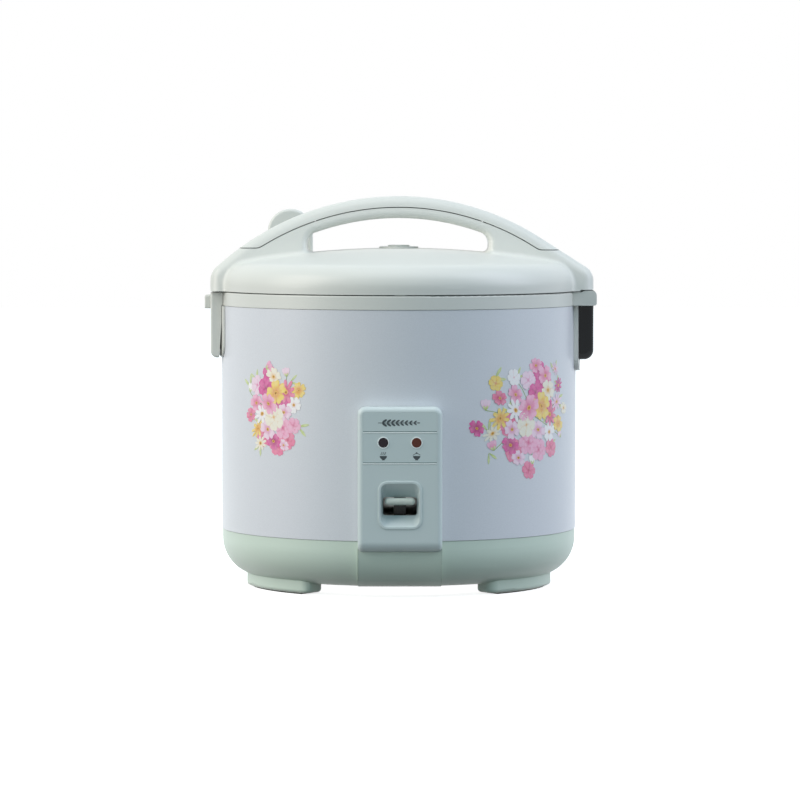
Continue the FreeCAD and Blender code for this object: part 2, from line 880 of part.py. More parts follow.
def pocket_funnel(grow, depth_over):
    """Funnel from the pocket's mouth to the lever's slot; grow makes it the outer wall."""
    corner_r = 5.0 + grow
    slot_corner_r = 1.7 + grow
    half_w, half_h = pocket_width / 2 + grow, pocket_height / 2 + grow
    half_sw, half_sh = slot_width / 2 + grow, slot_height / 2 + grow
    mouth = rectangle(-half_w, half_w, pocket_z - half_h, pocket_z + half_h, corner_r)
    slot = rectangle(-half_sw, half_sw, slot_z - half_sh, slot_z + half_sh, slot_corner_r)
    back = slot_y + depth_over
    wires = [outline(corners, lambda p, y=y: V(p.x, y, p.y)).OuterWire
             for corners, y in ((mouth, panel_face - past / 100), (slot, back))]
    return Part.makeLoft(wires, True, True)


def pocket_ridge_ring():
    """Low rounded ridge round the pocket's mouth."""
    half_w = pocket_width / 2 + pocket_ridge
    half_h = pocket_height / 2 + pocket_ridge
    face = rectangle(-half_w, half_w, pocket_z - half_h, pocket_z + half_h, 6.5)
    block = along_y(face, panel_face - ridge_height, panel_face + past)
    outer = edges_where(block, lambda p: p.y < panel_face - ridge_height + gap / 3)
    return block.makeFillet(ridge_height * 0.9, outer)


def inlay_fields():
    """Heights of the badge field and the indicator field, each as (low, high)."""
    top = panel_top - inlay_border
    middle = top - badge_height
    return [(middle + inlay_groove, top), (middle - indicator_height, middle - inlay_groove)]


def inlay_block(low, high, grow, y_front, y_back):
    """Rounded plate in the panel's face, or with grow its recess."""
    half = panel_half_width - inlay_border + grow
    return along_y(rectangle(-half, half, low - grow, high + grow, 1.0), y_front, y_back)


def lens_places():
    """Lens centres in (x, z)."""
    high = inlay_fields()[1][1]
    return [(-lens_spacing / 2, high - lens_drop), (lens_spacing / 2, high - lens_drop)]


clip_inset = 17.0          # snap tabs from the panel's ends
clip_width = 8.0
clip_hook = 1.5
board_y = -(shell_r - 5.0)
board_thickness = 1.6
board_screw_x = 16.5
board_screw_r = 1.2
board_screw_length = 8.0
board_head_r = 2.3
board_head = 1.5


def board_z():
    """Height of the lamp board's centre."""
    return lens_places()[0][1]


def panel_posts():
    """Two posts behind the face that carry the lamp board."""
    front = panel_face + panel_wall - past / 2
    return [across(2.4, x, board_z(), front, board_y) for x in (-board_screw_x, board_screw_x)]


def panel_clips():
    """Snap tabs that hold the panel in the shell's window."""
    clips = []
    thick = 1.7
    outer = cutout_half - gap
    root = panel_face + panel_wall - past / 2
    back = board_y + past
    hook = shell_inner_face(outer) + gap
    for side in (-1, 1):
        for low in (panel_bottom + clip_inset, panel_top - clip_inset - past):
            leg = [(outer - thick, root, 0), (outer, root, 0), (outer, hook, 0),
                   (outer + clip_hook, hook, 0), (outer - thick / 2, back, 0), (outer - thick, back, 0)]
            tab = along_z([(side * x, y, r) for x, y, r in leg], low, low + clip_width)
            clips.append(tab)
    return clips


def shell_inner_face(x):
    """Y of the shell's inner face at a given x, on the front side."""
    return -sqrt(shell_inner_r ** 2 - x ** 2)


def control_panel():
    """Panel housing with its rim, inlay recesses, lens holes, pocket and posts."""
    body = panel_outside()
    inner = panel_half_width - panel_wall
    hollow = along_y(rectangle(-inner, inner, panel_bottom + panel_wall, panel_top - panel_wall, 2.0),
                     panel_face + panel_wall, 0)
    body = body.cut(hollow)
    body = body.cut(disc(shell_r + gap / 3, shell_bottom - gap, panel_top + past))
    below = box(-panel_half_width - past, panel_half_width + past, -(base_r + past) - gap, 0,
                panel_bottom - past, shell_bottom - gap)
    body = body.cut(below)
    body = joined(body, pocket_funnel(1.5, 1.0), pocket_ridge_ring(), *panel_posts(), *panel_clips())
    slot_half, slot_high = slot_width / 2, slot_height / 2
    slot = rectangle(-slot_half, slot_half, slot_z - slot_high, slot_z + slot_high, 1.7)
    body = body.cut(pocket_mouth_cutter()).cut(along_y(slot, slot_y - past / 10, slot_y + 10.0))
    for low, high in inlay_fields():
        body = body.cut(inlay_block(low, high, gap / 6, panel_face - past, panel_face + inlay_depth))
    for x, z in lens_places():
        body = body.cut(across(lens_r + gap / 3, x, z, panel_face - past, panel_face + 2 * panel_wall))
    bore_end = board_y - board_screw_length
    for x in (-board_screw_x, board_screw_x):
        body = body.cut(across(board_screw_r + seat_play, x, board_z(), bore_end, board_y + past))
    return body


def pocket_mouth_cutter():
    """Funnel carried on through the ridge in front of the face."""
    half_w, half_h = pocket_width / 2, pocket_height / 2
    mouth = rectangle(-half_w, half_w, pocket_z - half_h, pocket_z + half_h, 5.0)
    return joined(pocket_funnel(0, 0), along_y(mouth, panel_face - past, panel_face))


def badge_plate():
    """Bare upper inlay."""
    low, high = inlay_fields()[0]
    return inlay_block(low, high, 0, panel_face, panel_face + inlay_depth)


def indicator_plate():
    """Lower inlay with two lens holes."""
    low, high = inlay_fields()[1]
    plate = inlay_block(low, high, 0, panel_face, panel_face + inlay_depth)
    for x, z in lens_places():
        plate = plate.cut(across(lens_r + gap / 3, x, z, panel_face - past, panel_face + 2 * inlay_depth))
    return plate


def lens(place):
    """Domed lamp lens with a stem through the panel's wall."""
    x, z = place
    front = panel_face - 0.4
    body = across(lens_r, x, z, front, panel_face + 4.0)
    edges = edges_where(body, lambda p: p.y < front + gap / 3)
    return body.makeFillet(0.8, edges)


def neon_lamps():
    """Two lamps between the lenses and the board."""
    return [across(lens_r * 0.7, x, z, panel_face + 4.0 + gap, board_y) for x, z in lens_places()]


def lamp_board():
    """Small circuit board behind the lamps."""
    half_w = board_screw_x + 3.0
    half_h = 7.5
    z = board_z()
    board = box(-half_w, half_w, board_y, board_y + board_thickness, z - half_h, z + half_h)
    for x in (-board_screw_x, board_screw_x):
        board = board.cut(across(board_screw_r + gap, x, z, board_y - past, board_y + 2 * past))
    return board


def board_screws():
    """Two screws through the board into the panel's posts."""
    y = board_y + board_thickness
    size = (board_head_r, board_head, board_screw_r, board_screw_length)
    return [screw(*size, V(x, y, board_z()), V(0, -1, 0)) for x in (-board_screw_x, board_screw_x)]


# ---------------------------------------------------------------- cooking lever
def arm_corners():
    """Cranked arm seen from the side, as (y, z, radius)."""
    half = arm_thickness / 2
    bend = arm_thickness
    low, high = pivot_z - half, tip_z + half
    tip = tip_y - tip_r / 3
    front, back = crank_y - half, crank_y + half
    end = arm_overrun
    return [(tip, high, 0), (tip, high - arm_thickness, 0), (front, high - arm_thickness, bend / 3),
            (front, low, bend), (end, low, half / 2), (end, arm_top, half / 2),
            (back, arm_top, bend / 3), (back, high, bend)]


def switch_lever():
    """Cranked steel arm from the lever's tip to the magnet holder's stem."""
    arm = along_x(arm_corners(), -arm_width / 2, arm_width / 2)
    hub = rod(2 * pin_r, V(-arm_width / 2, pivot_y, pivot_z), V(arm_width / 2, pivot_y, pivot_z))
    bore = rod(pin_r + shaft_play, V(-arm_width, pivot_y, pivot_z), V(arm_width, pivot_y, pivot_z))
    return joined(arm, hub).cut(bore)


def lever_knob():
    """Round bar that the finger presses, moulded over the arm's end."""
    half = tip_length / 2 - tip_r
    bar = rod(tip_r, V(-half, tip_y, tip_z), V(half, tip_y, tip_z))
    balls = [Part.makeSphere(tip_r, V(x, tip_y, tip_z)) for x in (-half, half)]
    neck = box(-arm_width / 2 - past, arm_width / 2 + past, tip_y, tip_y + 2 * tip_r,
               tip_z - arm_thickness / 2 - past / 2, tip_z + arm_thickness / 2 + past / 2)
    knob = joined(bar, neck, *balls)
    return knob.cut(along_x(arm_corners(), -arm_width / 2, arm_width / 2))


def switch_bracket():
    """U-shaped bracket on the bottom cover that carries the lever's pin."""
    half_depth = 9.0
    y0, y1 = pivot_y - half_depth, pivot_y + half_depth
    top = pivot_z + 6.0
    outer = cheek_gap + cheek_wall
    base = box(-outer, outer, y0, y1, cover_top, cover_top + cheek_wall)
    cheeks = [box(side * (cheek_gap + cheek_wall / 2) - cheek_wall / 2,
                  side * (cheek_gap + cheek_wall / 2) + cheek_wall / 2, y0, y1, cover_top, top)
              for side in (-1, 1)]
    bracket = joined(base, *cheeks)
    far = outer + past
    return bracket.cut(rod(pin_r + seat_play, V(-far, pivot_y, pivot_z), V(far, pivot_y, pivot_z)))


def lever_pin():
    """Pivot pin of the lever."""
    reach = cheek_gap + cheek_wall + 2.0
    return rod(pin_r, V(-reach, pivot_y, pivot_z), V(reach, pivot_y, pivot_z))


def micro_switch():
    """Snap switch beside the lever, with its plunger and two tags."""
    x = cheek_gap + cheek_wall
    width, length, height = 8.5, 22.0, 12.0
    y = pivot_y + pin_r + 2.0
    z = pivot_z - height
    body = box(x, x + width, y, y + length, z, z + height)
    plunger = disc(1.4, z + height - past, z + height + 1.8, x + width / 2, y + length / 2)
    tags = [box(x + width / 2 - 0.4, x + width / 2 + 0.4, y + at, y + at + 4.0, z - 5.0, z + past)
            for at in (2.0, length - 6.0)]
    return joined(body, plunger, *tags)


# ---------------------------------------------------------------- side brackets
bracket_screw_r = 1.5
latch_screw_angle = 3.8
hinge_screw_angle = 7.5
latch_screw_drop = 30.0
bracket_head_r = 2.4
bracket_head = 1.2
nut_r = 3.0
nut_height = 2.0
bracket_top = frame_bottom - gap


def curved_plate(side, thickness, half, drop):
    """Plate that follows the shell on one side, its lower end rounded."""
    bottom = frame_bottom - drop
    sleeve = ring(shell_r + gap / 3 + thickness, shell_r + gap / 3, bottom, bracket_top)
    face = [(-half, bottom, bracket_corner_r), (half, bottom, bracket_corner_r),
            (half, bracket_top, 0), (-half, bracket_top, 0)]
    near, far = sorted((side * shell_r / 2, side * (shell_r + 20.0)))
    return sleeve.common(along_x(face, near, far))


def bracket_screw_places():
    """Seats of the bracket screws as (point, inward direction), left pair then right."""
    places = []
    height = frame_bottom - latch_screw_drop
    for middle, spread in ((-90.0, latch_screw_angle), (90.0, hinge_screw_angle)):
        plate = latch_plate if middle < 0 else hinge_plate - bracket_head
        for angle in (middle - spread, middle + spread):
            x, y = around(shell_r + gap / 3 + plate, angle)
            places.append((V(x, y, height), V(-x, -y, 0).normalize()))
    return places


def bracket_screws():
    """Screws through both side brackets and the shell."""
    length = latch_plate + shell_wall + nut_height + 3.0
    return [screw(bracket_head_r, bracket_head, bracket_screw_r, length, spot, direction)
            for spot, direction in bracket_screw_places()]


def bracket_nuts():
    """Square-backed nuts inside the shell."""
    nuts = []
    for spot, direction in bracket_screw_places():
        seat = direction * -(shell_inner_r - seat_play * 5)
        nut = disc(nut_r, 0, nut_height).cut(disc(bracket_screw_r + seat_play, -past, nut_height + past))
        nuts.append(turned_to(nut, direction, V(seat.x, seat.y, spot.z)))
    return nuts


latch_ear_inner = 14.0
latch_ear_outer = 17.0
nose_reach = 1.8
nose_height = 1.2
pocket_play = 2.0          # room beside the hook


def latch_bracket():
    """Left bracket plate with two ears for the latch's pin."""
    plate = curved_plate(-1, latch_plate, latch_bracket_half, latch_bracket_drop)
    ears = []
    ear_end = latch_pin_x - latch_hub_r
    for side in (-1, 1):
        y0, y1 = sorted((side * latch_ear_inner, side * latch_ear_outer))
        ear = box(ear_end + latch_hub_r, -shell_r + 4.0, y0, y1, latch_pin_z - 3.0, latch_pin_z + 3.0)
        ear = joined(ear, across(latch_hub_r, latch_pin_x, latch_pin_z, y0, y1))
        ears.append(ear.cut(disc(shell_r + gap / 3, 0, frame_top)))
    bracket = joined(plate, *ears)
    bracket = bracket.cut(across(latch_pin_r + seat_play, latch_pin_x, latch_pin_z,
                                 -latch_half_width, latch_half_width))
    return drilled(bracket, bracket_screw_places()[:2])


def drilled(bracket, places):
    """Bracket with holes for its screws and seats for their heads."""
    for spot, direction in places:
        bracket = bracket.cut(hole(bracket_screw_r + gap, hinge_plate * 3, spot, direction))
        seat = turned_to(disc(bracket_head_r + gap, -3 * bracket_head, 0), direction, spot)
        bracket = bracket.cut(seat)
    return bracket


def latch_pin():
    """Thin pin of the latch."""
    reach = latch_ear_outer + past
    return across(latch_pin_r, latch_pin_x, latch_pin_z, -reach, reach)


def latch_background(turn):
    """Bracket plate and rim grown by the play, as the latch meets them when it has turned."""
    plate = disc(shell_r + gap / 3 + latch_plate + gap, 0, frame_bottom)
    rim = disc(rim_r + gap, frame_bottom - past, handle_top)
    space = joined(plate, rim)
    space.rotate(V(latch_pin_x, 0, latch_pin_z), V(0, 1, 0), turn)
    return space


def latch_outside():
    """Latch lever's outer form, before it is hollowed; its cheeks follow the drum behind it."""
    bottom = latch_top - latch_length
    inner = -(shell_r - latch_cheek_depth)
    side = [(latch_x, bottom, latch_end_r), (inner, bottom, 0), (inner, latch_top, 0), (latch_x, latch_top, 0)]
    body = along_y(side, -latch_half_width, latch_half_width)
    corner = 1.6
    uprights = edges_where(body, lambda p: p.x < latch_x + gap and abs(p.y) > latch_half_width - gap)
    body = body.makeFillet(corner, uprights)
    return body.cut(latch_background(0)).cut(latch_background(latch_swing)).Solids[0]


def latch_lever():
    """Spring lever that hooks the lid: skin, cheeks, knob, hub and hook."""
    body = latch_outside()
    inner = latch_half_width - latch_wall
    skin = latch_x + latch_wall
    bottom = latch_top - latch_length
    back = -shell_r + latch_cheek_depth + past
    cavity = [(skin, bottom + latch_wall, latch_end_r - latch_wall), (back, bottom + latch_wall, 0),
              (back, latch_top + past, 0), (skin, latch_top + past, 0)]
    hollow = along_y(cavity, -inner, inner)
    body = body.cut(hollow).cut(ear_reliefs())
    knob_top = latch_top - knob_drop
    knob = along_x(rectangle(-knob_half_width, knob_half_width, knob_top - knob_height, knob_top, 1.2),
                   latch_x - knob_reach, latch_x + past)
    outer = edges_where(knob, lambda p: p.x < latch_x - knob_reach + gap / 3)
    knob = knob.makeFillet(0.8, outer)
    return joined(body, knob, latch_hook()).cut(
        across(latch_pin_r + shaft_play, latch_pin_x, latch_pin_z, -latch_half_width, latch_half_width)
        .cut(box(2 * latch_x, 0, latch_ear_outer + past * 2, latch_half_width + past, 0, handle_top))
        .cut(box(2 * latch_x, 0, -latch_half_width - past, -latch_ear_outer - past * 2, 0, handle_top)))


def ear_reliefs():
    """Shallow recesses in the skin's back, opposite the bracket's ears."""
    half = latch_hub_r * 2
    skin = latch_x + latch_wall
    reliefs = []
    for side in (-1, 1):
        y0, y1 = sorted((side * (latch_ear_inner - gap), side * (latch_ear_outer + gap)))
        z0, z1 = latch_pin_z - half, latch_pin_z + half
        reliefs.append(box(skin - latch_wall * 0.6, skin + past, y0, y1, z0, z1))
    return joined(*reliefs)


def hook_outer_x():
    """Outer face of the hook's upright."""
    return -(shell_r + hook_reach + gap)


def hook_top():
    """Top of the hook inside the lid."""
    return lid_bottom + hook_reach


def latch_hook():
    """Hub, upright and nose of the latch, one solid."""
    hub_half = latch_ear_inner - free
    hub = across(latch_hub_r, latch_pin_x, latch_pin_z, -hub_half, hub_half)
    outer = hook_outer_x()
    inside = outer + hook_thickness
    top = hook_top()
    upright = box(outer, inside, -hook_half_width, hook_half_width, latch_pin_z, top)
    web = box(latch_x + past, latch_pin_x, -hub_half, hub_half, latch_pin_z - past, latch_pin_z + past)
    bridge = box(latch_x + past, outer + past, -hook_half_width, hook_half_width,
                 latch_top - 2.5, latch_top)
    nose_x = inside + nose_reach
    side = [(outer, top - nose_height, 0), (nose_x, top - nose_height, 0),
            (nose_x, top - nose_height / 2, 0), (inside, top, 0), (outer, top, 0)]
    nose = along_y(side, -hook_half_width, hook_half_width)
    return joined(hub, upright, web, bridge, nose)


latch_coil_drop = 14.0     # spring below the latch's pin


def latch_spring():
    """Small coil that pushes the latch's lower end out."""
    length = latch_reach - latch_wall - latch_plate - 4 * gap
    spring = coil(latch_coil_r, latch_wire / 2, length, latch_turns)
    spot = V(latch_x + latch_wall + 2 * gap, 0, latch_pin_z - latch_coil_drop)
    return turned_to(spring, V(1, 0, 0), spot)


collector_back_x = shell_r + gap / 3 + hinge_plate + gap
collector_top = frame_bottom - gap
peg_drop = 7.0


def peg_places():
    """Places of the pegs that the collector hangs on, as (y, z)."""
    return [(y, collector_top - peg_drop) for y in (-peg_spacing / 2, peg_spacing / 2)]


def hinge_bracket():
    """Right bracket plate with two pegs for the dew collector."""
    plate = curved_plate(1, hinge_plate, hinge_bracket_half, hinge_bracket_drop)
    reach = collector_back_x + collector_wall
    pegs = [rod(peg_r, V(shell_r + hinge_plate / 2, y, z), V(reach, y, z)) for y, z in peg_places()]
    return drilled(joined(plate, *pegs), bracket_screw_places()[2:])


def dew_collector():
    """Clear cup under the hinge that catches the lid's dew, open at the top."""
    bottom = collector_top - collector_length
    x0, x1 = collector_back_x - collector_side_depth, collector_back_x + collector_reach
    half = collector_half_width
    outside = [(x0, bottom, 0), (x1, bottom, collector_bend), (x1, collector_top, 0), (x0, collector_top, 0)]
    body = along_y(outside, -half, half)
    uprights = edges_where(body, lambda p: p.x > x1 - gap and abs(p.y) > half - gap)
    body = body.makeFillet(collector_corner_r, uprights).cut(disc(collector_back_x, 0, frame_top))
    wall = collector_wall
    inner = half - wall
    inside = [(x0, bottom + wall, 0), (x1 - wall, bottom + wall, collector_bend - wall),
              (x1 - wall, collector_top + past, 0), (x0, collector_top + past, 0)]
    hollow = along_y(inside, -inner, inner).cut(disc(collector_back_x + wall, 0, frame_top))
    cup = body.cut(hollow)
    for y, z in peg_places():
        cup = cup.cut(rod(peg_r + gap, V(x0, y, z), V(collector_back_x + 2 * wall, y, z)))
    return cup


# ---------------------------------------------------------------- lid
def dome(inset):
    """Lid's round form, or with inset the hollow inside it."""
    radius, crown, bend = rim_r - inset, crown_r - inset, shoulder_r - inset
    centre = V(0, 0, crown_z - crown_r)
    bend_centre = V(0, radius - bend, centre.z + sqrt((crown - bend) ** 2 - (radius - bend) ** 2))
    out = (bend_centre - centre).normalize()
    touch = centre + out * crown
    side = V(0, radius, bend_centre.z)
    middle = bend_centre + (out + V(0, 1, 0)).normalize() * bend
    top = V(0, 0, centre.z + crown)
    share = V(0, touch.y / 2, centre.z + sqrt(crown ** 2 - touch.y ** 2 / 4))
    low = lid_bottom - inset
    spots = [top, V(0, 0, low), V(0, radius, low), side]
    edges = [Part.LineSegment(a, b).toShape() for a, b in zip(spots, spots[1:])]
    edges.append(Part.Arc(side, middle, touch).toShape())
    edges.append(Part.Arc(touch, share, top).toShape())
    face = Part.Face(Part.Wire(edges))
    return face.revolve(V(0, 0, 0), V(0, 0, 1), 360).Solids[0]


def slope_end():
    """Height of the handle's right end, where the straight slope stops."""
    start = handle_top - arch_fall_right
    fall = slope_x / (arch_r_right - arch_fall_right)
    return start - fall * slope_inset


def arch_point(x, inset):
    """Point on the handle's arch, inset from its outer line."""
    if x < 0:
        return V(x, 0, left_arch_z + sqrt((arch_r_left - inset) ** 2 - x ** 2))
    return V(x, 0, right_arch_z + sqrt((arch_r_right - inset) ** 2 - x ** 2))


def arch_edge(x0, x1, inset):
    """Arc along the arch from x0 to x1."""
    return Part.Arc(arch_point(x0, inset), arch_point((x0 + x1) / 2, inset), arch_point(x1, inset)).toShape()


def straight(*points):
    """Line edges through (x, z) points."""
    spots = [V(x, 0, z) for x, z in points]
    return [Part.LineSegment(a, b).toShape() for a, b in zip(spots, spots[1:])]


def plate_across(edges, half):
    """Closed side outline drawn out to both sides of the middle plane."""
    wire = Part.Wire(Part.__sortEdges__(edges))
    face = Part.Face(wire)
    face.translate(V(0, -half, 0))
    return face.extrude(V(0, 2 * half, 0))


hinge_step = 1.0           # the lid's end stands this much higher over the hinge
opening_low = lid_bottom + lid_rise * 3 / 4


def handle_side():
    """Handle's side outline, without its opening."""
    left = arch_point(-handle_left, 0)
    turn = arch_point(slope_x, 0)
    step_x = pin_x - knuckle_pocket - gap * 2
    edges = [arch_edge(-handle_left, 0, 0), arch_edge(0, slope_x, 0)]
    edges += straight((turn.x, turn.z), (handle_right, slope_end()), (handle_right, lid_bottom + hinge_step),
                      (step_x, lid_bottom + hinge_step), (step_x, lid_bottom), (-handle_left, lid_bottom),
                      (-handle_left, left.z))
    return edges


def opening_form():
    """Finger opening under the arch, down into the dome."""
    low = opening_low
    left, right = arch_point(-opening_left, handle_thickness), arch_point(opening_right, handle_thickness)
    edges = [arch_edge(-opening_left, 0, handle_thickness), arch_edge(0, opening_right, handle_thickness)]
    edges += straight((opening_right, right.z), (opening_right, low),
                      (-opening_left, low), (-opening_left, left.z))
    form = plate_across(edges, rim_r)
    shorter = min(opening_left, opening_right)
    corners = edges_where(form, lambda p: abs(p.y) < gap and abs(p.x) > shorter - gap and p.z > crown_z)
    return form.makeFillet(opening_corner_r, corners)


def draft_form():
    """Both drafted sides of the handle, along the whole lid."""
    drop = handle_top - lid_bottom + past
    half_low = handle_half_width + handle_draft * drop
    half_high = handle_half_width - handle_draft * past
    low, high = lid_bottom - past, handle_top + past
    return along_x([(-half_low, low, 0), (half_low, low, 0), (half_high, high, 0), (-half_high, high, 0)],
                   -handle_right - past, handle_right + past)


def on_side(point):
    """True on the handle's drafted sides."""
    half = handle_half_width + handle_draft * (handle_top - point.z)
    return abs(abs(point.y) - half) < gap / 10


def middle_above(point, height):
    """True in the middle plane above a height."""
    return abs(point.y) < gap and point.z > height


def handle_form():
    """Handle with its rounded ends, edges and opening."""
    body = plate_across(handle_side(), rim_r)
    above = lid_bottom + 2 * hinge_step
    body = rounded(body, left_corner_r, lambda p: p.x < -handle_left + gap and middle_above(p, above))
    body = rounded(body, right_corner_r, lambda p: p.x > handle_right - gap and middle_above(p, above))
    body = body.common(draft_form())
    rims = edges_where(body, lambda p: on_side(p) and not_lower_edge(p))
    body = body.makeFillet(handle_edge_r, rims)
    body = body.cut(opening_form())
    return rounded(body, opening_edge_r, lambda p: on_side(p) and in_opening(p)).Solids[0]


def not_lower_edge(point):
    """True away from the handle's lower edges and from the step over the hinge."""
    return point.z > lid_bottom + hinge_step + past / 2 or point.x < -handle_left + gap


def in_opening(point):
    """True on the rim of the finger opening."""
    inside = -opening_left - gap < point.x < opening_right + gap
    return inside and opening_low + past < point.z < arch_point(point.x, handle_thickness).z + gap


def lid_form():
    """Dome and handle in one, with a hollow round where they meet."""
    round_form, bow = dome(0), handle_form()
    body = round_form.fuse(bow).Solids[0]
    skins = on_both(round_form, bow)
    seams = edges_where(body, lambda p: p.z > lid_bottom + gap and skins(p))
    return body.makeFillet(blend_r, seams)


def grip_region(drop):
    """Space above the grip cap's parting line, lowered by drop."""
    half = rim_r
    inset = grip_depth + drop
    edges = []
    ends = []
    for side, radius, centre_z, rise in ((-1, arch_r_left, left_arch_z, grip_ledge_left),
                                         (1, arch_r_right, right_arch_z, grip_ledge_right)):
        ledge = lid_bottom + rise - drop
        seam_r = radius - inset
        small_z = ledge + grip_ledge_r
        small_x = side * sqrt((seam_r + grip_ledge_r) ** 2 - (small_z - centre_z) ** 2)
        share = seam_r / (seam_r + grip_ledge_r)
        touch = V(small_x * share, 0, centre_z + (small_z - centre_z) * share)
        centre = V(small_x, 0, small_z)
        toward = ((touch - centre).normalize() + V(0, 0, -1)).normalize()
        edges.append(Part.Arc(touch, centre + toward * grip_ledge_r, V(small_x, 0, ledge)).toShape())
        edges.append(arch_edge(touch.x, 0, inset))
        ends.append((small_x, ledge))
    (left_x, left_z), (right_x, right_z) = ends
    far = handle_right + past
    edges += straight((left_x, left_z), (-far, left_z), (-far, handle_top + past),
                      (far, handle_top + past), (far, right_z), (right_x, right_z))
    return plate_across(edges, half)


def grip_seat():
    """Room in the lid for the grip cap: an open seam outside, a close seat on the rib in the middle."""
    rib = box(-handle_left - past, handle_right + past, -grip_rib_half, grip_rib_half, lid_bottom, handle_top)
    return joined(grip_region(grip_seam).cut(rib), grip_region(seat_play))


core_wall = 2.6
core_half_width = 12.0
core_reach = 58.0


def handle_core():
    """Hollow inside the arch, shared by the lid and the grip cap."""
    edges = [arch_edge(-core_reach, 0, core_wall), arch_edge(0, core_reach, core_wall),
             arch_edge(-core_reach, 0, handle_thickness - core_wall),
             arch_edge(0, core_reach, handle_thickness - core_wall)]
    for x in (-core_reach, core_reach):
        high, low = arch_point(x, core_wall), arch_point(x, handle_thickness - core_wall)
        edges += straight((x, high.z), (x, low.z))
    return plate_across(edges, core_half_width)


def post_hollow(side):
    """Hollow inside one foot of the handle, open to the lid's inside."""
    inset = grip_depth + post_wall
    opening = opening_left if side < 0 else opening_right
    near, far = side * (opening + post_wall), side * (rim_r - 2 * post_wall)
    low = lid_bottom + lid_wall
    edges = [arch_edge(min(near, far), max(near, far), inset)]
    edges += straight((near, arch_point(near, inset).z), (near, low),
                      (far, low), (far, arch_point(far, inset).z))
    return plate_across(edges, post_half_width)


handle_screw_x = 88.0
handle_screw_r = 1.6
handle_screw_length = 9.5
handle_head_r = 3.2
handle_head = 2.0


def handle_screw_seats():
    """Points under the screw heads in the handle's feet."""
    seats = []
    for x in (-handle_screw_x, handle_screw_x):
        outer = x + handle_screw_r * 3 if x > 0 else x - handle_screw_r * 3
        seats.append(V(x, 0, arch_point(outer, grip_depth + post_wall).z - past / 2))
    return seats


def handle_screws():
    """Two screws from inside the handle's feet up into the grip cap."""
    return [screw(handle_head_r, handle_head, handle_screw_r, handle_screw_length, seat, V(0, 0, 1))
            for seat in handle_screw_seats()]


def screw_bosses():
    """Flat seats for the handle screws at the top of each foot's hollow."""
    return [disc(5.0, seat.z, seat.z + 6.0, seat.x, seat.y) for seat in handle_screw_seats()]


def knuckles():
    """Two knuckles under the lid's right end that turn on the hinge pin."""
    outer = ear_half_span - ear_width - free
    found = []
    for side in (-1, 1):
        y0, y1 = sorted((side * knuckle_inner, side * outer))
        eye = across(knuckle_r, pin_x, pin_z, y0, y1)
        web = box(pin_x - knuckle_r, handle_right - past, y0, y1, pin_z, lid_bottom + hinge_step + past)
        found.append(joined(eye, web))
    return found


gasket_inset = 0.5         # gasket's outside inside the pan's flange
gasket_width = 9.8
gasket_r1 = pan_flange_r - gasket_inset
gasket_r0 = gasket_r1 - gasket_width
gasket_lip = 0.35          # lip above the pan's rim
liner_screw_inset = 6.5    # liner's screws outside the gasket
liner_screw_circle = gasket_r1 + liner_screw_inset
liner_screw_length = 9.0
liner_screw_angles = (45.0, 135.0, 225.0, 315.0)
liner_screw_r = 1.4
liner_head_r = 2.8
liner_head = 1.2
liner_bottom = lid_bottom + lid_seam
liner_thickness = 2.2
liner_top = liner_bottom + liner_thickness
center_cap_r = 13.5


def liner_screw_places():
    """Plan points of the liner's screws."""
    return [around(liner_screw_circle, angle) for angle in liner_screw_angles]


def liner_bosses():
    """Four posts between the liner and the lid's roof."""
    return [disc(3.6, liner_top, crown_z, x, y) for x, y in liner_screw_places()]


def lid_hollows():
    """All the hollow spaces in the lid: handle feet, arch and dome, less the screw posts."""
    feet = [post_hollow(side) for side in (-1, 1)]
    feet = [hollow.cut(seat) for hollow, seat in zip(feet, screw_bosses())]
    roof = dome(lid_wall)
    for boss in liner_bosses():
        roof = roof.cut(boss)
    return feet + [handle_core(), roof]


def lid_cover(form):
    """Outer lid with handle feet, hinge knuckles, screw posts and the latch's pocket."""
    body = form
    for hollow in lid_hollows():
        body = body.cut(hollow)
    body = body.cut(grip_seat())
    body = joined(body, *knuckles())
    body = joined(body, rest_tab())
    body = body.cut(disc(center_cap_r + gap, crown_z - past, crown_z + 2 * past))
    roof_z = crown_z - lid_wall
    body = body.cut(disc(gate_r, roof_z - 2 * gate_depth, roof_z + gate_depth))
    body = body.cut(disc(duct_r + gap, lid_bottom, handle_top, duct_x, duct_y))
    for seat in handle_screw_seats():
        body = body.cut(disc(handle_screw_r + gap, seat.z - past, handle_top, seat.x, seat.y))
    for x, y in liner_screw_places():
        body = body.cut(disc(liner_screw_r + seat_play, lid_bottom, liner_top + liner_screw_length, x, y))
    body = body.cut(across(pin_r + shaft_play, pin_x, pin_z, -ear_half_span, ear_half_span))
    return body.cut(latch_pocket())


def latch_pocket():
    """Room for the hook in the lid's left end, with the ledge it would hook over."""
    half = hook_half_width + pocket_play
    outer = latch_x + latch_wall - gap
    ledge_x = hook_outer_x() + hook_thickness + nose_reach + free
    back = ledge_x + lid_wall
    top = hook_top() + pocket_play
    well = box(outer, ledge_x, -half, half, lid_bottom - past, top)
    room = box(ledge_x - past, back, -half, half, hook_top() - nose_height - free, top)
    return joined(well, room)


def rest_tab():
    """Small pad under the lid's front edge that sets the seam."""
    half = rest_tab_width / 2
    tab = box(-half, half, -rim_r - past, -rim_r + lid_wall, lid_bottom - lid_seam / 2, lid_bottom + past)
    return tab.common(disc(rim_r - gap, lid_bottom - lid_seam, lid_bottom + past))


def handle_grip(form):
    """Grip cap over the arch."""
    grip = form.common(grip_region(0)).cut(handle_core())
    for seat in handle_screw_seats():
        end = seat.z + handle_screw_length + gap
        grip = grip.cut(disc(handle_screw_r + seat_play, seat.z, end, seat.x, seat.y))
    return grip


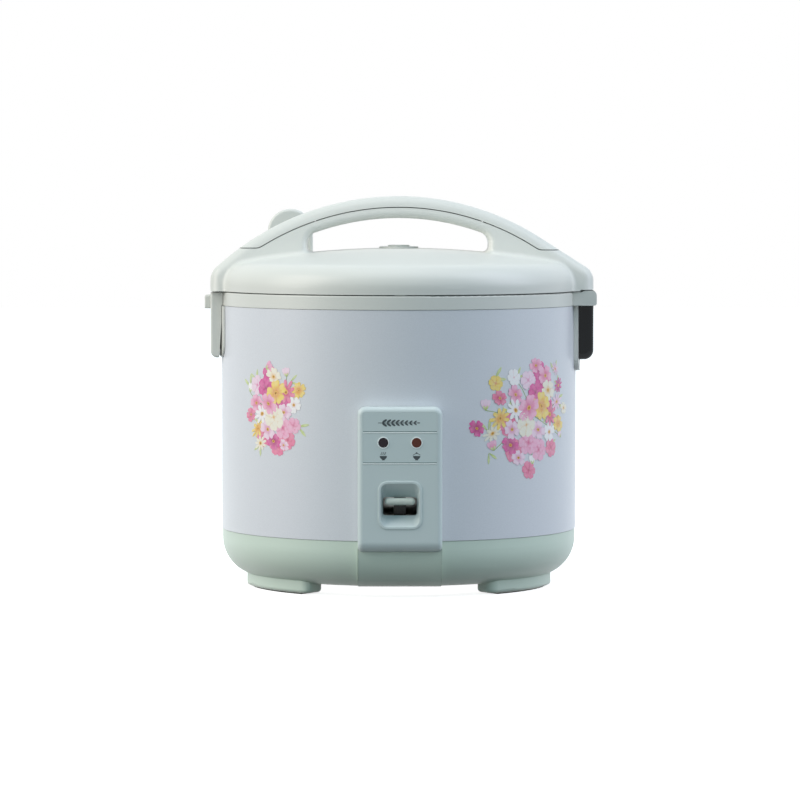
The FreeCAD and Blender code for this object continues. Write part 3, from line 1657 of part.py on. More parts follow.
def lid_center_cap():
    """Round plug in the middle of the lid."""
    low = crown_z - past
    plug = disc(center_cap_r, low, low + 2.0)
    plug = plug.makeFillet(0.6, edges_where(plug, lambda p: p.z > low + 2.0 - gap / 3))
    knob = disc(center_cap_r * 0.56, low + past, low + 3.0)
    knob = knob.makeFillet(0.6, edges_where(knob, lambda p: p.z > low + 3.0 - gap / 3))
    return joined(plug, knob)


inner_lid_r = gasket_r0 - gap / 2
inner_lid_thickness = 1.0
inner_lid_drop = 2.7
stud_r = 4.0
grommet_r = 7.0
steam_hole_r = 2.0
steam_hole_circle = 78.0
steam_hole_count = 24


def lid_liner():
    """Flat liner that closes the lid from below."""
    plate = disc(rim_r - lid_wall - 2 * gap, liner_bottom, liner_top)
    plate = plate.cut(disc(duct_r + seat_play, 0, handle_top, duct_x, duct_y))
    plate = plate.cut(disc(stud_r / 2 + seat_play, 0, handle_top))
    for x, y in liner_screw_places():
        plate = plate.cut(disc(liner_screw_r + gap, 0, handle_top, x, y))
        plate = plate.cut(disc(liner_head_r + gap, 0, liner_bottom + liner_head, x, y))
    latch_room = box(-rim_r, hook_outer_x() + hook_thickness + 6.0, -hook_half_width - 2.0,
                     hook_half_width + 2.0, 0, handle_top)
    return plate.cut(latch_room)


def liner_screws():
    """Four flush screws that hold the liner."""
    seat_z = liner_bottom + liner_head
    return [screw(liner_head_r, liner_head, liner_screw_r, liner_screw_length, V(x, y, seat_z), V(0, 0, 1))
            for x, y in liner_screw_places()]


def lid_heater():
    """Flat foil heater on the liner with its heating cord as a raised ring."""
    outer, inner, foil, cord_r = 76.0, 30.0, 0.6, 1.5
    sheet = ring(outer, inner, liner_top, liner_top + foil)
    cord = Part.makeTorus((outer + inner) / 2, cord_r, V(0, 0, liner_top + foil + cord_r / 2))
    cord = cord.cut(disc(outer, liner_bottom, liner_top))
    return joined(sheet, cord)


def lid_gasket():
    """Rubber ring with a lip over the pan's rim."""
    bottom = liner_bottom - 4.0
    lip_low = pan_top + gasket_lip
    lip_r0, lip_r1 = pan_r + past, gasket_r1 - gap
    return turned([(gasket_r0, bottom, 0.5), (lip_r0, bottom, 0), (lip_r0, lip_low, 0.3),
                   (lip_r1, lip_low, 0.3), (lip_r1, bottom, 0), (gasket_r1, bottom, 0),
                   (gasket_r1, liner_bottom, 0), (gasket_r0, liner_bottom, 0)])


def inner_lid():
    """Removable aluminium inner lid with a circle of steam holes."""
    top = liner_bottom - inner_lid_drop
    plate = disc(inner_lid_r, top - inner_lid_thickness, top)
    plate = plate.cut(disc(stud_r + gap, 0, handle_top))
    for index in range(steam_hole_count):
        x, y = around(steam_hole_circle, 360 / steam_hole_count * index)
        plate = plate.cut(disc(steam_hole_r, 0, handle_top, x, y))
    return plate


def lid_stud():
    """Stud in the middle of the liner that the inner lid pushes onto."""
    low = liner_bottom - inner_lid_drop - inner_lid_thickness - 1.5
    neck = disc(stud_r / 2, low, liner_top + 2.0)
    collar = disc(stud_r, liner_bottom - inner_lid_drop + seat_play, liner_bottom)
    return joined(neck, collar)


def stud_grommet():
    """Rubber grommet that holds the inner lid on its stud."""
    top = liner_bottom - inner_lid_drop
    low = top - inner_lid_thickness - 2.0
    body = joined(disc(grommet_r, low, top - inner_lid_thickness), disc(stud_r + gap - seat_play, low, top))
    body = body.makeFillet(0.8, edges_where(body, lambda p: p.z < low + gap / 3))
    return body.cut(disc(stud_r / 2 + seat_play, low - past, top + past))


# ---------------------------------------------------------------- steam cap
def dome_top(x, y):
    """Height of the dome's crown surface over a plan point."""
    return crown_z - crown_r + sqrt(crown_r ** 2 - x ** 2 - y ** 2)


duct_top = dome_top(duct_x, duct_y) + 4.0


def steam_duct():
    """Tube that leads the steam from under the liner up into the cap."""
    tube = ring(duct_r, duct_r - duct_wall, liner_bottom, duct_top, duct_x, duct_y)
    collar = ring(duct_r + 2.0, duct_r, liner_top, liner_top + 1.5, duct_x, duct_y)
    return joined(tube, collar)


def cap_side(inset):
    """Steam cap's front outline, round above and straight below."""
    half = steam_cap_width / 2 - inset
    middle = crown_z + steam_cap_rise
    head = across(half, steam_x, middle, steam_front_y + inset, steam_front_y + steam_depth - inset)
    low = lid_bottom + lid_rise / 2
    foot_box = box(steam_x - half, steam_x + half, steam_front_y + inset,
                   steam_front_y + steam_depth - inset, low, middle)
    return joined(head, foot_box)


def steam_cap():
    """Lift-off steam cap: a hollow round-headed tower with slots at the back."""
    body = cap_side(0)
    front = steam_front_y
    back = front + steam_depth
    rear = edges_where(body, lambda p: p.y > back - gap and p.z > crown_z - past)
    body = body.makeFillet(5.0, rear)
    fore = edges_where(body, lambda p: p.y < front + gap and p.z > lid_bottom + lid_rise / 2 + past)
    body = body.makeFillet(2.0, fore)
    seat = Part.makeSphere(crown_r + free, V(0, 0, crown_z - crown_r))
    body = body.cut(cap_side(steam_cap_wall)).cut(seat)
    slot_half = steam_cap_width / 5
    for row in range(3):
        z = crown_z + steam_cap_rise + 4.0 * (row - 1)
        slot = rectangle(steam_x - slot_half, steam_x + slot_half, z, z + 2.0, 0.8)
        body = body.cut(along_y(slot, back - 3 * steam_cap_wall, back + past))
    return body


# ---------------------------------------------------------------- write the parts
def write_drum():
    """Base, shell, rim and what they carry."""
    save("base_housing", base_housing())
    save("bottom_cover", bottom_cover())
    save("foot_pads", *[pad(*span, 0) for span in foot_spans()])
    save("base_front_cover", base_front_cover())
    save("base_screws", *base_screws())
    save("power_inlet", power_inlet())
    save("inlet_pins", *[inlet_pin(x, 0) for x in (-inlet_pin_spacing / 2, inlet_pin_spacing / 2)])
    save("terminal_block", terminal_block())
    save("outer_shell", outer_shell())
    save("upper_frame", upper_frame())
    save("hinge_pin", hinge_pin())
    save("hinge_spring", hinge_spring())


def write_chamber():
    """Cooking chamber, heaters, thermostat and pan."""
    save("inner_casing", inner_casing())
    save("casing_posts", *casing_posts())
    save("plate_standoffs", *plate_standoffs())
    save("heating_plate", heating_plate())
    save("heating_element", heating_element())
    save("side_heater_band", side_heater_band())
    save("thermal_fuse", thermal_fuse())
    save("sensor_cap", sensor_cap())
    save("ferrite_disc", ferrite_disc())
    save("sensor_spring", sensor_spring())
    save("thermostat_sleeve", thermostat_sleeve())
    save("magnet_holder", magnet_holder())
    save("magnet", magnet())
    save("inner_pan", inner_pan())


def write_panel():
    """Control panel, lamps and cooking lever."""
    save("control_panel", control_panel())
    save("badge_plate", badge_plate())
    save("indicator_plate", indicator_plate())
    save("cook_lamp_lens", lens(lens_places()[0]))
    save("warm_lamp_lens", lens(lens_places()[1]))
    save("neon_lamps", *neon_lamps())
    save("lamp_board", lamp_board())
    save("board_screws", *board_screws())
    save("switch_lever", switch_lever())
    save("lever_knob", lever_knob())
    save("switch_bracket", switch_bracket())
    save("lever_pin", lever_pin())
    save("micro_switch", micro_switch())


def write_sides():
    """Latch on the left, bracket and dew collector on the right."""
    save("latch_bracket", latch_bracket())
    save("latch_pin", latch_pin())
    save("latch_lever", latch_lever())
    save("latch_spring", latch_spring())
    save("hinge_bracket", hinge_bracket())
    save("dew_collector", dew_collector())
    save("bracket_screws", *bracket_screws())
    save("bracket_nuts", *bracket_nuts())


def write_lid():
    """Lid, handle and steam cap."""
    form = lid_form()
    save("lid_cover", lid_cover(form))
    save("handle_grip", handle_grip(form))
    save("handle_screws", *handle_screws())
    save("lid_center_cap", lid_center_cap())
    save("lid_liner", lid_liner())
    save("liner_screws", *liner_screws())
    save("lid_heater", lid_heater())
    save("lid_gasket", lid_gasket())
    save("inner_lid", inner_lid())
    save("lid_stud", lid_stud())
    save("stud_grommet", stud_grommet())
    save("steam_duct", steam_duct())
    save("steam_cap", steam_cap())


os.makedirs("parts", exist_ok=True)
write_drum()
write_chamber()
write_panel()
write_sides()
write_lid()
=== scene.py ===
# %% [markdown]
# # A jar-type rice cooker: finishes, printed blossoms and a small studio
#
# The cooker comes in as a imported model, one object per real piece, each already in its place.
# Everything here is about looks: what each piece is made of, the blossom print on the drum, the
# marks on the front panel, and the light. Lengths are in metres, +Z is up and the panel faces -Y.

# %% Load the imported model
import json
import random
from math import cos, pi, radians, sin, sqrt

import bmesh
import bpy
from mathutils import Matrix, Vector


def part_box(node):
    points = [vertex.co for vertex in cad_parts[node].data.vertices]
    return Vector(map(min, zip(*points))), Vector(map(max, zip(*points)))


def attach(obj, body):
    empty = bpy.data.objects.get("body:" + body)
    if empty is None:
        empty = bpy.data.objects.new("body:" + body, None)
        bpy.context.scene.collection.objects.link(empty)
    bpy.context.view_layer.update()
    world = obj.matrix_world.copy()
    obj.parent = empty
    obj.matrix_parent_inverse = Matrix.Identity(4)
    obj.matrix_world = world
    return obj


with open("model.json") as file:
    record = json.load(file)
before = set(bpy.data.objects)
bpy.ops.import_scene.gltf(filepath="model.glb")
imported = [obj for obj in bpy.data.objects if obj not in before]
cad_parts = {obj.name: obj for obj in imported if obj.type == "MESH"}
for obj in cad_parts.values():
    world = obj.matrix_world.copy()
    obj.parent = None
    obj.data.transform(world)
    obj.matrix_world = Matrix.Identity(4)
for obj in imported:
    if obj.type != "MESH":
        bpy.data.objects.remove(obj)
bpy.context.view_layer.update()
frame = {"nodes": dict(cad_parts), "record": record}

MM = 0.001
nodes = frame["nodes"]

# %% [markdown]
# ## Camera
#
# Small appliances are shot with a long lens from well back, so that the lid's seam and the drum's
# foot stay nearly flat curves. A camera slightly above the handle and tipped down three degrees
# shows a sliver of the lid's roof. It stands about two centimetres to the left of the panel's middle
# and turns back towards it, so that the panel sits a hair right of the drum's middle.

# %% Long lens, a little above the handle
SENSOR_WIDTH = 36.0
LENS_LENGTH = 187.7
FAR_LIMIT = 50.0
CAMERA_BACK = 2.877
CAMERA_RISE = 0.281
CAMERA_TIP = 3.07
CAMERA_ASIDE = -0.0186
CAMERA_TURN = -0.388
camera = bpy.data.objects.new("camera", bpy.data.cameras.new("camera"))
camera.data.sensor_width = SENSOR_WIDTH
camera.data.lens = LENS_LENGTH
camera.data.clip_end = FAR_LIMIT
camera.location = (CAMERA_ASIDE, -CAMERA_BACK, CAMERA_RISE)
camera.rotation_euler = (radians(90 - CAMERA_TIP), 0, radians(CAMERA_TURN))
bpy.context.collection.objects.link(camera)
bpy.context.scene.camera = camera
print("camera", tuple(round(v, 3) for v in camera.location), "lens", camera.data.lens)

# %% [markdown]
# ## Small helpers for shader trees
#
# A material is a tree of nodes. `place` adds one node and fills its inputs: an input that is given
# another node's output is wired, and any other value is typed in. `group` makes a node group with
# named sockets, which is how one effect, such as moulding grain, is shared by many materials, and
# `fill` puts such a group into a tree. The rest are the few sums that most of these trees share.

# %% Place a node, open a group, start a material
def place(tree, kind, inputs=None, **settings):
    node = tree.nodes.new(kind)
    for name, value in settings.items():
        setattr(node, name, value)
    for name, value in (inputs or {}).items():
        if isinstance(value, bpy.types.NodeSocket):
            tree.links.new(value, node.inputs[name])
        else:
            node.inputs[name].default_value = value
    return node


def sums(tree, operation, first, second=0.0):
    """One math node's result."""
    return place(tree, "ShaderNodeMath", {0: first, 1: second}, operation=operation).outputs[0]


def blend_colours(tree, share, first, second):
    """first turned towards second by share."""
    return place(tree, "ShaderNodeMix", {0: share, 6: first, 7: second}, data_type="RGBA").outputs[2]


def scaled(tree, vector, share):
    """A colour or a coordinate, multiplied by share."""
    return place(tree, "ShaderNodeVectorMath", {0: vector, "Scale": share}, operation="SCALE").outputs[0]


def span(tree, value, low, high, to_low=0.0, to_high=1.0):
    """value's range from low to high, stretched to another range and cut off at its ends."""
    node = place(tree, "ShaderNodeMapRange", {"Value": value, "From Min": low, "From Max": high,
                                              "To Min": to_low, "To Max": to_high})
    return node.outputs["Result"]


def own_place(tree):
    """Object coordinates, which stay with the piece when it moves."""
    return tree.nodes.new("ShaderNodeTexCoord").outputs["Object"]


def noise(tree, where, scale, detail=2.0, roughness=0.5):
    """Soft noise from 0 to 1."""
    return place(tree, "ShaderNodeTexNoise", {"Vector": where, "Scale": scale, "Detail": detail,
                                              "Roughness": roughness}).outputs["Fac"]


def sway(tree, value, amount):
    """A noise value, centred on 0 and amount strong."""
    return sums(tree, "MULTIPLY", sums(tree, "SUBTRACT", value, 0.5), amount)


def from_axis(tree, x, y):
    """Distance from the cooker's axis."""
    return sums(tree, "SQRT", sums(tree, "ADD", sums(tree, "MULTIPLY", x, x), sums(tree, "MULTIPLY", y, y)))


def emboss(tree, shader, height, strength, depth):
    """A bump on the shader's normal, depth deep at full strength."""
    relief = place(tree, "ShaderNodeBump", {"Height": height, "Strength": strength, "Distance": depth})
    tree.links.new(relief.outputs[0], shader["Normal"])


SOCKETS = {"colour": "NodeSocketColor", "number": "NodeSocketFloat", "vector": "NodeSocketVector"}


def group(name, inputs, outputs):
    """A node group with named sockets, and its inner entry and exit."""
    made = bpy.data.node_groups.new(name, "ShaderNodeTree")
    for title, (kind, value) in inputs.items():
        socket = made.interface.new_socket(title, in_out="INPUT", socket_type=SOCKETS[kind])
        socket.default_value = value
    for title, kind in outputs.items():
        made.interface.new_socket(title, in_out="OUTPUT", socket_type=SOCKETS[kind])
    return made, made.nodes.new("NodeGroupInput").outputs, made.nodes.new("NodeGroupOutput").inputs


def fill(tree, made, inputs):
    """A node group placed in a tree with its inputs filled, by its outputs."""
    return place(tree, "ShaderNodeGroup", inputs, node_tree=made).outputs


def material(name, **constants):
    """A new material with one Principled shader, whose plain sockets are set by name."""
    made = bpy.data.materials.new(name)
    made.use_nodes = True
    tree = made.node_tree
    shader = tree.nodes["Principled BSDF"]
    for title, value in constants.items():
        shader.inputs[title.replace("_", " ")].default_value = value
    return made, tree, shader.inputs


def colour(red, green, blue):
    """A colour written as screen values from 0 to 255, as linear light."""
    return tuple(((v / 255 + 0.055) / 1.055) ** 2.4 for v in (red, green, blue)) + (1.0,)


# %% [markdown]
# ## Moulded plastic skin
#
# Injection-moulded plastic is never one flat colour. It drifts by a percent or two where the melt
# flowed, its gloss changes a little where hands have polished it, and the mould's eroded texture
# gives a very fine grain. One group holds all three, driven by Object coordinates, which stay in
# place on the piece when it moves.

# %% Node group: moulded skin
def make_skin():
    made, given, out = group("moulded skin", {
        "Colour": ("colour", (0.8, 0.8, 0.8, 1)), "Drift": ("number", 0.03), "Drift Size": ("number", 0.05),
        "Roughness": ("number", 0.35), "Polish": ("number", 0.06), "Grain Size": ("number", 0.0004),
    }, {"Colour": "colour", "Roughness": "number", "Height": "number"})
    where = own_place(made)
    slow = noise(made, where, sums(made, "DIVIDE", 1.0, given["Drift Size"]), detail=3.0, roughness=0.55)
    fine = noise(made, where, sums(made, "DIVIDE", 1.0, given["Grain Size"]))
    swing = sway(made, slow, given["Drift"])
    made.links.new(scaled(made, given["Colour"], sums(made, "ADD", 1.0, swing)), out["Colour"])
    gloss = sums(made, "ADD", sway(made, slow, given["Polish"]), sway(made, fine, given["Polish"]))
    made.links.new(sums(made, "ADD", given["Roughness"], gloss), out["Roughness"])
    made.links.new(fine, out["Height"])
    return made


skin = make_skin()
print("group", skin.name, [item.name for item in skin.interface.items_tree])

# %% [markdown]
# ## Rubbed edges and painted seam shade
#
# Edges that hands touch go a little lighter. The Bevel node gives the normal that a rounded edge
# would have. Where it differs from the true normal, there is an edge. Seams and the undersides of
# overhangs get painted shade: the Ambient Occlusion node finds them, and the colour is darkened there.

# %% Node groups: rubbed edges and painted seam shade
def make_edge():
    made, given, out = group("rubbed edge", {
        "Colour": ("colour", (0.8, 0.8, 0.8, 1)), "Edge Colour": ("colour", (1, 1, 1, 1)),
        "Width": ("number", 0.0008), "Amount": ("number", 0.3),
    }, {"Colour": "colour"})
    bevel = place(made, "ShaderNodeBevel", {"Radius": given["Width"]}, samples=4)
    flat = made.nodes.new("ShaderNodeNewGeometry").outputs["Normal"]
    same = place(made, "ShaderNodeVectorMath", {0: bevel.outputs["Normal"], 1: flat}, operation="DOT_PRODUCT")
    mask = sums(made, "MULTIPLY", span(made, same.outputs["Value"], 0.98, 0.75), given["Amount"])
    made.links.new(blend_colours(made, mask, given["Colour"], given["Edge Colour"]), out["Colour"])
    return made


def make_painted_seam_shade():
    made, given, out = group("seam dust", {
        "Colour": ("colour", (0.8, 0.8, 0.8, 1)), "Shade Colour": ("colour", (0.2, 0.2, 0.2, 1)),
        "Reach": ("number", 0.003), "Amount": ("number", 0.5),
    }, {"Colour": "colour"})
    # painted shade: darker where Ambient Occlusion finds a seam or an overhang
    shade = place(made, "ShaderNodeAmbientOcclusion", {"Distance": given["Reach"]}, samples=6)
    mask = sums(made, "MULTIPLY", span(made, shade.outputs["AO"], 0.75, 0.1), given["Amount"])
    made.links.new(blend_colours(made, mask, given["Colour"], given["Shade Colour"]), out["Colour"])
    return made


rubbed_edge = make_edge()
painted_seam_shade = make_painted_seam_shade()
print("groups", rubbed_edge.name, "and", painted_seam_shade.name)

# %% [markdown]
# ## Metals with a direction
#
# Rolled sheet shows fine streaks along the rolling direction, and a turned or cast plate shows rings
# about its axis. Both are noise that is stretched many times longer one way than the other. The
# group takes a coordinate that is already stretched, so it serves straight sheet and round plates.

# %% Node group: streaked metal, and a coordinate that runs round the axis
RING_WANDER = 0.2


def make_streaks():
    made, given, out = group("streaked metal", {
        "Colour": ("colour", (0.8, 0.8, 0.8, 1)), "Vector": ("vector", (0, 0, 0)),
        "Contrast": ("number", 0.12), "Roughness": ("number", 0.3),
    }, {"Colour": "colour", "Roughness": "number", "Height": "number"})
    streak = noise(made, given["Vector"], scale=1.0, detail=4.0, roughness=0.6)
    swing = sway(made, streak, given["Contrast"])
    made.links.new(scaled(made, given["Colour"], sums(made, "ADD", 1.0, swing)), out["Colour"])
    made.links.new(sums(made, "ADD", given["Roughness"], swing), out["Roughness"])
    made.links.new(streak, out["Height"])
    return made


def make_round():
    """Distance from the axis and height, stretched for fine rings that wander slowly along their length."""
    made, given, out = group("rings about the axis", {
        "Ring Size": ("number", 0.0004), "Length": ("number", 0.03),
    }, {"Vector": "vector"})
    where = own_place(made)
    x, y, z = place(made, "ShaderNodeSeparateXYZ", {0: where}).outputs
    slow = scaled(made, where, sums(made, "DIVIDE", RING_WANDER, given["Length"]))
    slow_x, slow_y, _ = place(made, "ShaderNodeSeparateXYZ", {0: slow}).outputs
    stretched = place(made, "ShaderNodeCombineXYZ", {
        0: sums(made, "ADD", sums(made, "DIVIDE", from_axis(made, x, y), given["Ring Size"]), slow_x),
        1: sums(made, "ADD", sums(made, "DIVIDE", z, given["Ring Size"]), slow_y), 2: slow_y})
    made.links.new(stretched.outputs[0], out["Vector"])
    return made


streaks = make_streaks()
rings = make_round()
print("groups", streaks.name, "and", rings.name)

# %% [markdown]
# ## Plastics of the body
#
# Lid, handle, rim and side brackets are one off-white plastic with a satin gloss. Its roughness is
# about a third, so soft boxes show as broad soft lights and not as sharp mirrors. The panel and its
# inlays are a little cooler, and the inlays more matt. The base gets its own plastic further down.

# %% Off-white, grey and dark plastics
# the colour of the painted shade in seams and under overhangs
SEAM_SHADE_TONE = colour(112, 116, 104)
EDGE_GAIN = 1.12
EDGE_LIFT = 0.02
GRAIN_DEPTH = 0.2 * MM


def plastic(name, tone, roughness, drift=0.035, grain=0.00035, bump=0.05, edge=0.25, dust=0.55, **constants):
    """Moulded plastic with drift, grain, rubbed edges and painted shade in its seams."""
    made, tree, shader = material(name, **constants)
    base = fill(tree, skin, {"Colour": tone, "Drift": drift, "Roughness": roughness, "Grain Size": grain})
    lighter = tuple(min(1.0, v * EDGE_GAIN + EDGE_LIFT) for v in tone[:3]) + (1.0,)
    rubbed = fill(tree, rubbed_edge, {"Colour": base["Colour"], "Edge Colour": lighter, "Amount": edge})
    seam_shaded = fill(tree, painted_seam_shade, {"Colour": rubbed["Colour"], "Shade Colour": SEAM_SHADE_TONE, "Amount": dust})
    tree.links.new(seam_shaded["Colour"], shader["Base Color"])
    tree.links.new(base["Roughness"], shader["Roughness"])
    emboss(tree, shader, base["Height"], bump, GRAIN_DEPTH)
    return made


ivory = plastic("ivory plastic", colour(222, 223, 217), 0.34)
panel_grey = plastic("panel plastic", colour(207, 219, 219), 0.36)
inlay_grey = plastic("inlay plastic", colour(205, 218, 218), 0.45, bump=0.12, edge=0.1)
knob_grey = plastic("lever knob plastic", colour(206, 214, 205), 0.3)
dark_plastic = plastic("dark plastic", colour(34, 34, 37), 0.45, dust=0.2, bump=0.15)
board_brown = plastic("board", colour(150, 118, 70), 0.55, drift=0.2, dust=0.1)
print("plastics", [m.name for m in (ivory, panel_grey, inlay_grey, knob_grey, dark_plastic, board_brown)])

# %% [markdown]
# ## Pearl paint on the drum
#
# The drum is sheet steel with a cool white baked paint. Real paint has a slight orange peel, a few
# millimetres across, and pearl pigment that glitters in points of less than half a millimetre. The
# clear coat over it is set on the shader's own coat sockets.

# %% Cool white pearl paint
PEEL_DEPTH = 0.3 * MM


def pearl_paint():
    made, tree, shader = material("pearl paint", Coat_Weight=0.15, Coat_Roughness=0.22,
                                  Specular_IOR_Level=0.35)
    where = own_place(tree)
    flakes = place(tree, "ShaderNodeTexVoronoi", {"Vector": where, "Scale": 2600.0})
    flake = place(tree, "ShaderNodeSeparateColor", {0: flakes.outputs["Color"]}).outputs[0]
    glint = span(tree, flake, 0.0, 1.0, 0.975, 1.025)
    cool = blend_colours(tree, noise(tree, where, scale=9.0), colour(221, 224, 229), colour(225, 226, 233))
    # painted shade in the drum's seams
    seam_shaded = fill(tree, painted_seam_shade, {"Colour": scaled(tree, cool, glint), "Shade Colour": SEAM_SHADE_TONE, "Amount": 0.4})
    tree.links.new(seam_shaded["Colour"], shader["Base Color"])
    peel = noise(tree, where, scale=420.0, detail=1.0)
    tree.links.new(span(tree, peel, 0.3, 0.7, 0.36, 0.44), shader["Roughness"])
    emboss(tree, shader, peel, strength=0.06, depth=PEEL_DEPTH)
    return made


drum_paint = pearl_paint()
print("paint", drum_paint.name)

# %% [markdown]
# ## Metals, rubbers and the rest
#
# Inside the cooker are spun and cast aluminium, rolled and zinc-plated steel, brass pins, a
# heat-tinted heating tube and a pan with a dark non-stick coat. Each is the streak group with its own
# colour, scale and roughness. Metallic stays a plain 1 where the whole surface is bare metal.

# %% Metals
STREAK_DEPTH = 0.1 * MM


def metal(name, tone, roughness, ring=0.0004, contrast=0.12, along=None, bump=0.08):
    """Bare metal with rings about the axis, or with streaks or grain as fine as along says on each axis."""
    made, tree, shader = material(name, Metallic=1.0)
    if along is None:
        vector = fill(tree, rings, {"Ring Size": ring})["Vector"]
    else:
        vector = place(tree, "ShaderNodeVectorMath", {0: own_place(tree), 1: along},
                       operation="MULTIPLY").outputs[0]
    base = fill(tree, streaks, {"Colour": tone, "Vector": vector, "Contrast": contrast,
                                "Roughness": roughness})
    # painted shade in the metal's seams
    seam_shaded = fill(tree, painted_seam_shade, {"Colour": base["Colour"], "Amount": 0.35})
    tree.links.new(seam_shaded["Colour"], shader["Base Color"])
    tree.links.new(base["Roughness"], shader["Roughness"])
    emboss(tree, shader, base["Height"], bump, STREAK_DEPTH)
    return made


spun_aluminium = metal("spun aluminium", colour(206, 206, 203), 0.42)
cast_aluminium = metal("cast aluminium", colour(196, 196, 193), 0.4, ring=0.0009, contrast=0.2)
rolled_steel = metal("rolled steel", colour(205, 205, 202), 0.34, along=(60, 60, 4000))
zinc_steel = metal("zinc plated steel", colour(188, 189, 188), 0.36, along=(900, 900, 900), contrast=0.1)
drawn_wire = metal("drawn wire", colour(196, 196, 198), 0.25, along=(1500, 1500, 1500), contrast=0.08)
tinted_steel = metal("heat tinted steel", colour(138, 124, 108), 0.45, along=(260, 260, 260), contrast=0.3)
brass = metal("brass", colour(214, 184, 112), 0.24, along=(1200, 200, 1200))
ferrite = metal("ferrite", colour(78, 74, 72), 0.6, along=(1500, 1500, 1500), contrast=0.3)
print("metals", [m.name for m in (spun_aluminium, cast_aluminium, rolled_steel, zinc_steel, drawn_wire)])

# %% [markdown]
# The pan is pressed aluminium. Its inside has a dark coat with tiny light flecks, and its outside is
# left bare. The two meet at the rim, so the coat is told apart by distance from the cooker's axis:
# nearer than the middle of the wall and above the middle of the bottom is coated, and so is the
# rim's top edge.

# %% The pan's two finishes
pan_low, pan_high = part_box("inner_pan")
PAN_WALL = 2.0 * MM
PAN_INSIDE_R = 94.0 * MM
RIM_COAT = 1.2 * MM


def pan_finish():
    made, tree, shader = material("pan with non-stick coat")
    where = own_place(tree)
    x, y, z = place(tree, "ShaderNodeSeparateXYZ", {0: where}).outputs
    near = sums(tree, "LESS_THAN", from_axis(tree, x, y), PAN_INSIDE_R + PAN_WALL / 2)
    above = sums(tree, "GREATER_THAN", z, pan_low.z + PAN_WALL / 2)
    rim = sums(tree, "GREATER_THAN", z, pan_high.z - RIM_COAT)
    coated = sums(tree, "MAXIMUM", sums(tree, "MULTIPLY", near, above), rim)
    flecks = place(tree, "ShaderNodeTexVoronoi", {"Vector": where, "Scale": 900.0})
    fleck = span(tree, flecks.outputs["Distance"], 0.12, 0.2, 1.0, 0.0)
    coat = blend_colours(tree, fleck, colour(52, 53, 56), colour(104, 104, 106))
    vector = fill(tree, rings, {"Ring Size": 0.0005})["Vector"]
    bare = fill(tree, streaks, {"Colour": colour(204, 204, 202), "Vector": vector, "Roughness": 0.3})
    tree.links.new(blend_colours(tree, coated, bare["Colour"], coat), shader["Base Color"])
    tree.links.new(span(tree, coated, 0, 1, 1.0, 0.15), shader["Metallic"])
    smooth = sums(tree, "MULTIPLY", coated, 0.1)
    tree.links.new(sums(tree, "ADD", bare["Roughness"], smooth), shader["Roughness"])
    emboss(tree, shader, bare["Height"], strength=0.06, depth=STREAK_DEPTH)
    return made


pan_metal = pan_finish()
print("pan between z", round(pan_low.z, 4), "and", round(pan_high.z, 4))

# %% [markdown]
# Rubber and silicone scatter light with almost no gloss. The heaters are wound on glass cloth,
# whose weave is two crossed waves. The dew collector's smoke tint is so deep that it looks nearly
# black and lets hardly any light through. The lamp lenses are small domes, one nearly black and one
# amber.

# %% Rubber, silicone, glass cloth, smoke and lenses
CLOTH_R = 100 * MM
WEAVE_DEPTH = 0.3 * MM


def cloth(name, tone, pitch):
    """Plain woven glass cloth that runs round the axis."""
    made, tree, shader = material(name, Roughness=0.85)
    x, y, z = place(tree, "ShaderNodeSeparateXYZ", {0: own_place(tree)}).outputs
    turn = sums(tree, "MULTIPLY", sums(tree, "ARCTAN2", y, x), CLOTH_R / pitch * 2 * pi)
    warp = sums(tree, "SINE", turn)
    weft = sums(tree, "SINE", sums(tree, "MULTIPLY", z, 2 * pi / pitch))
    over = sums(tree, "MULTIPLY", warp, weft)
    shade = span(tree, over, -1.0, 1.0, 0.82, 1.08)
    tree.links.new(scaled(tree, tone[:3], shade), shader["Base Color"])
    emboss(tree, shader, over, strength=0.4, depth=WEAVE_DEPTH)
    return made


foot_rubber = plastic("foot rubber", colour(52, 52, 52), 0.8, grain=0.0008, bump=0.3, edge=0.1)
seal_silicone = plastic("seal silicone", colour(196, 198, 197), 0.6, grain=0.0006, bump=0.1, edge=0.05,
                        dust=0.3)
glass_cloth = cloth("glass cloth", colour(214, 210, 196), pitch=1.4 * MM)
LENS_LOOK = {"bump": 0.01, "edge": 0.0, "dust": 0.0, "Specular_IOR_Level": 0.2}
smoke = plastic("smoke plastic", colour(5, 10, 15), 0.16, bump=0.01, edge=0.1, dust=0.0,
                Transmission_Weight=0.02, Specular_IOR_Level=0.22)
dark_lens = plastic("cooking lamp lens", colour(30, 16, 27), 0.2, **LENS_LOOK)
amber_lens = plastic("warm lamp lens", colour(92, 40, 24), 0.2, **LENS_LOOK)
print("soft", [m.name for m in (foot_rubber, seal_silicone, glass_cloth)])
print("tinted", [m.name for m in (smoke, dark_lens, amber_lens)])

# %% [markdown]
# ## Every piece gets its finish
#
# The record says which material slot each piece has, so a table from slot to finish dresses the
# whole cooker. Some pieces that share a slot are named one by one. The cooking lamp's lens, which is
# darker than the warming lamp's, and the switch lever, which is blackened, differ in real life. The
# base with its front cover gets a greener, darker and a little more matt copy of the ivory: partly
# its own tone and partly painted cool shade for surfaces that face down and forward.

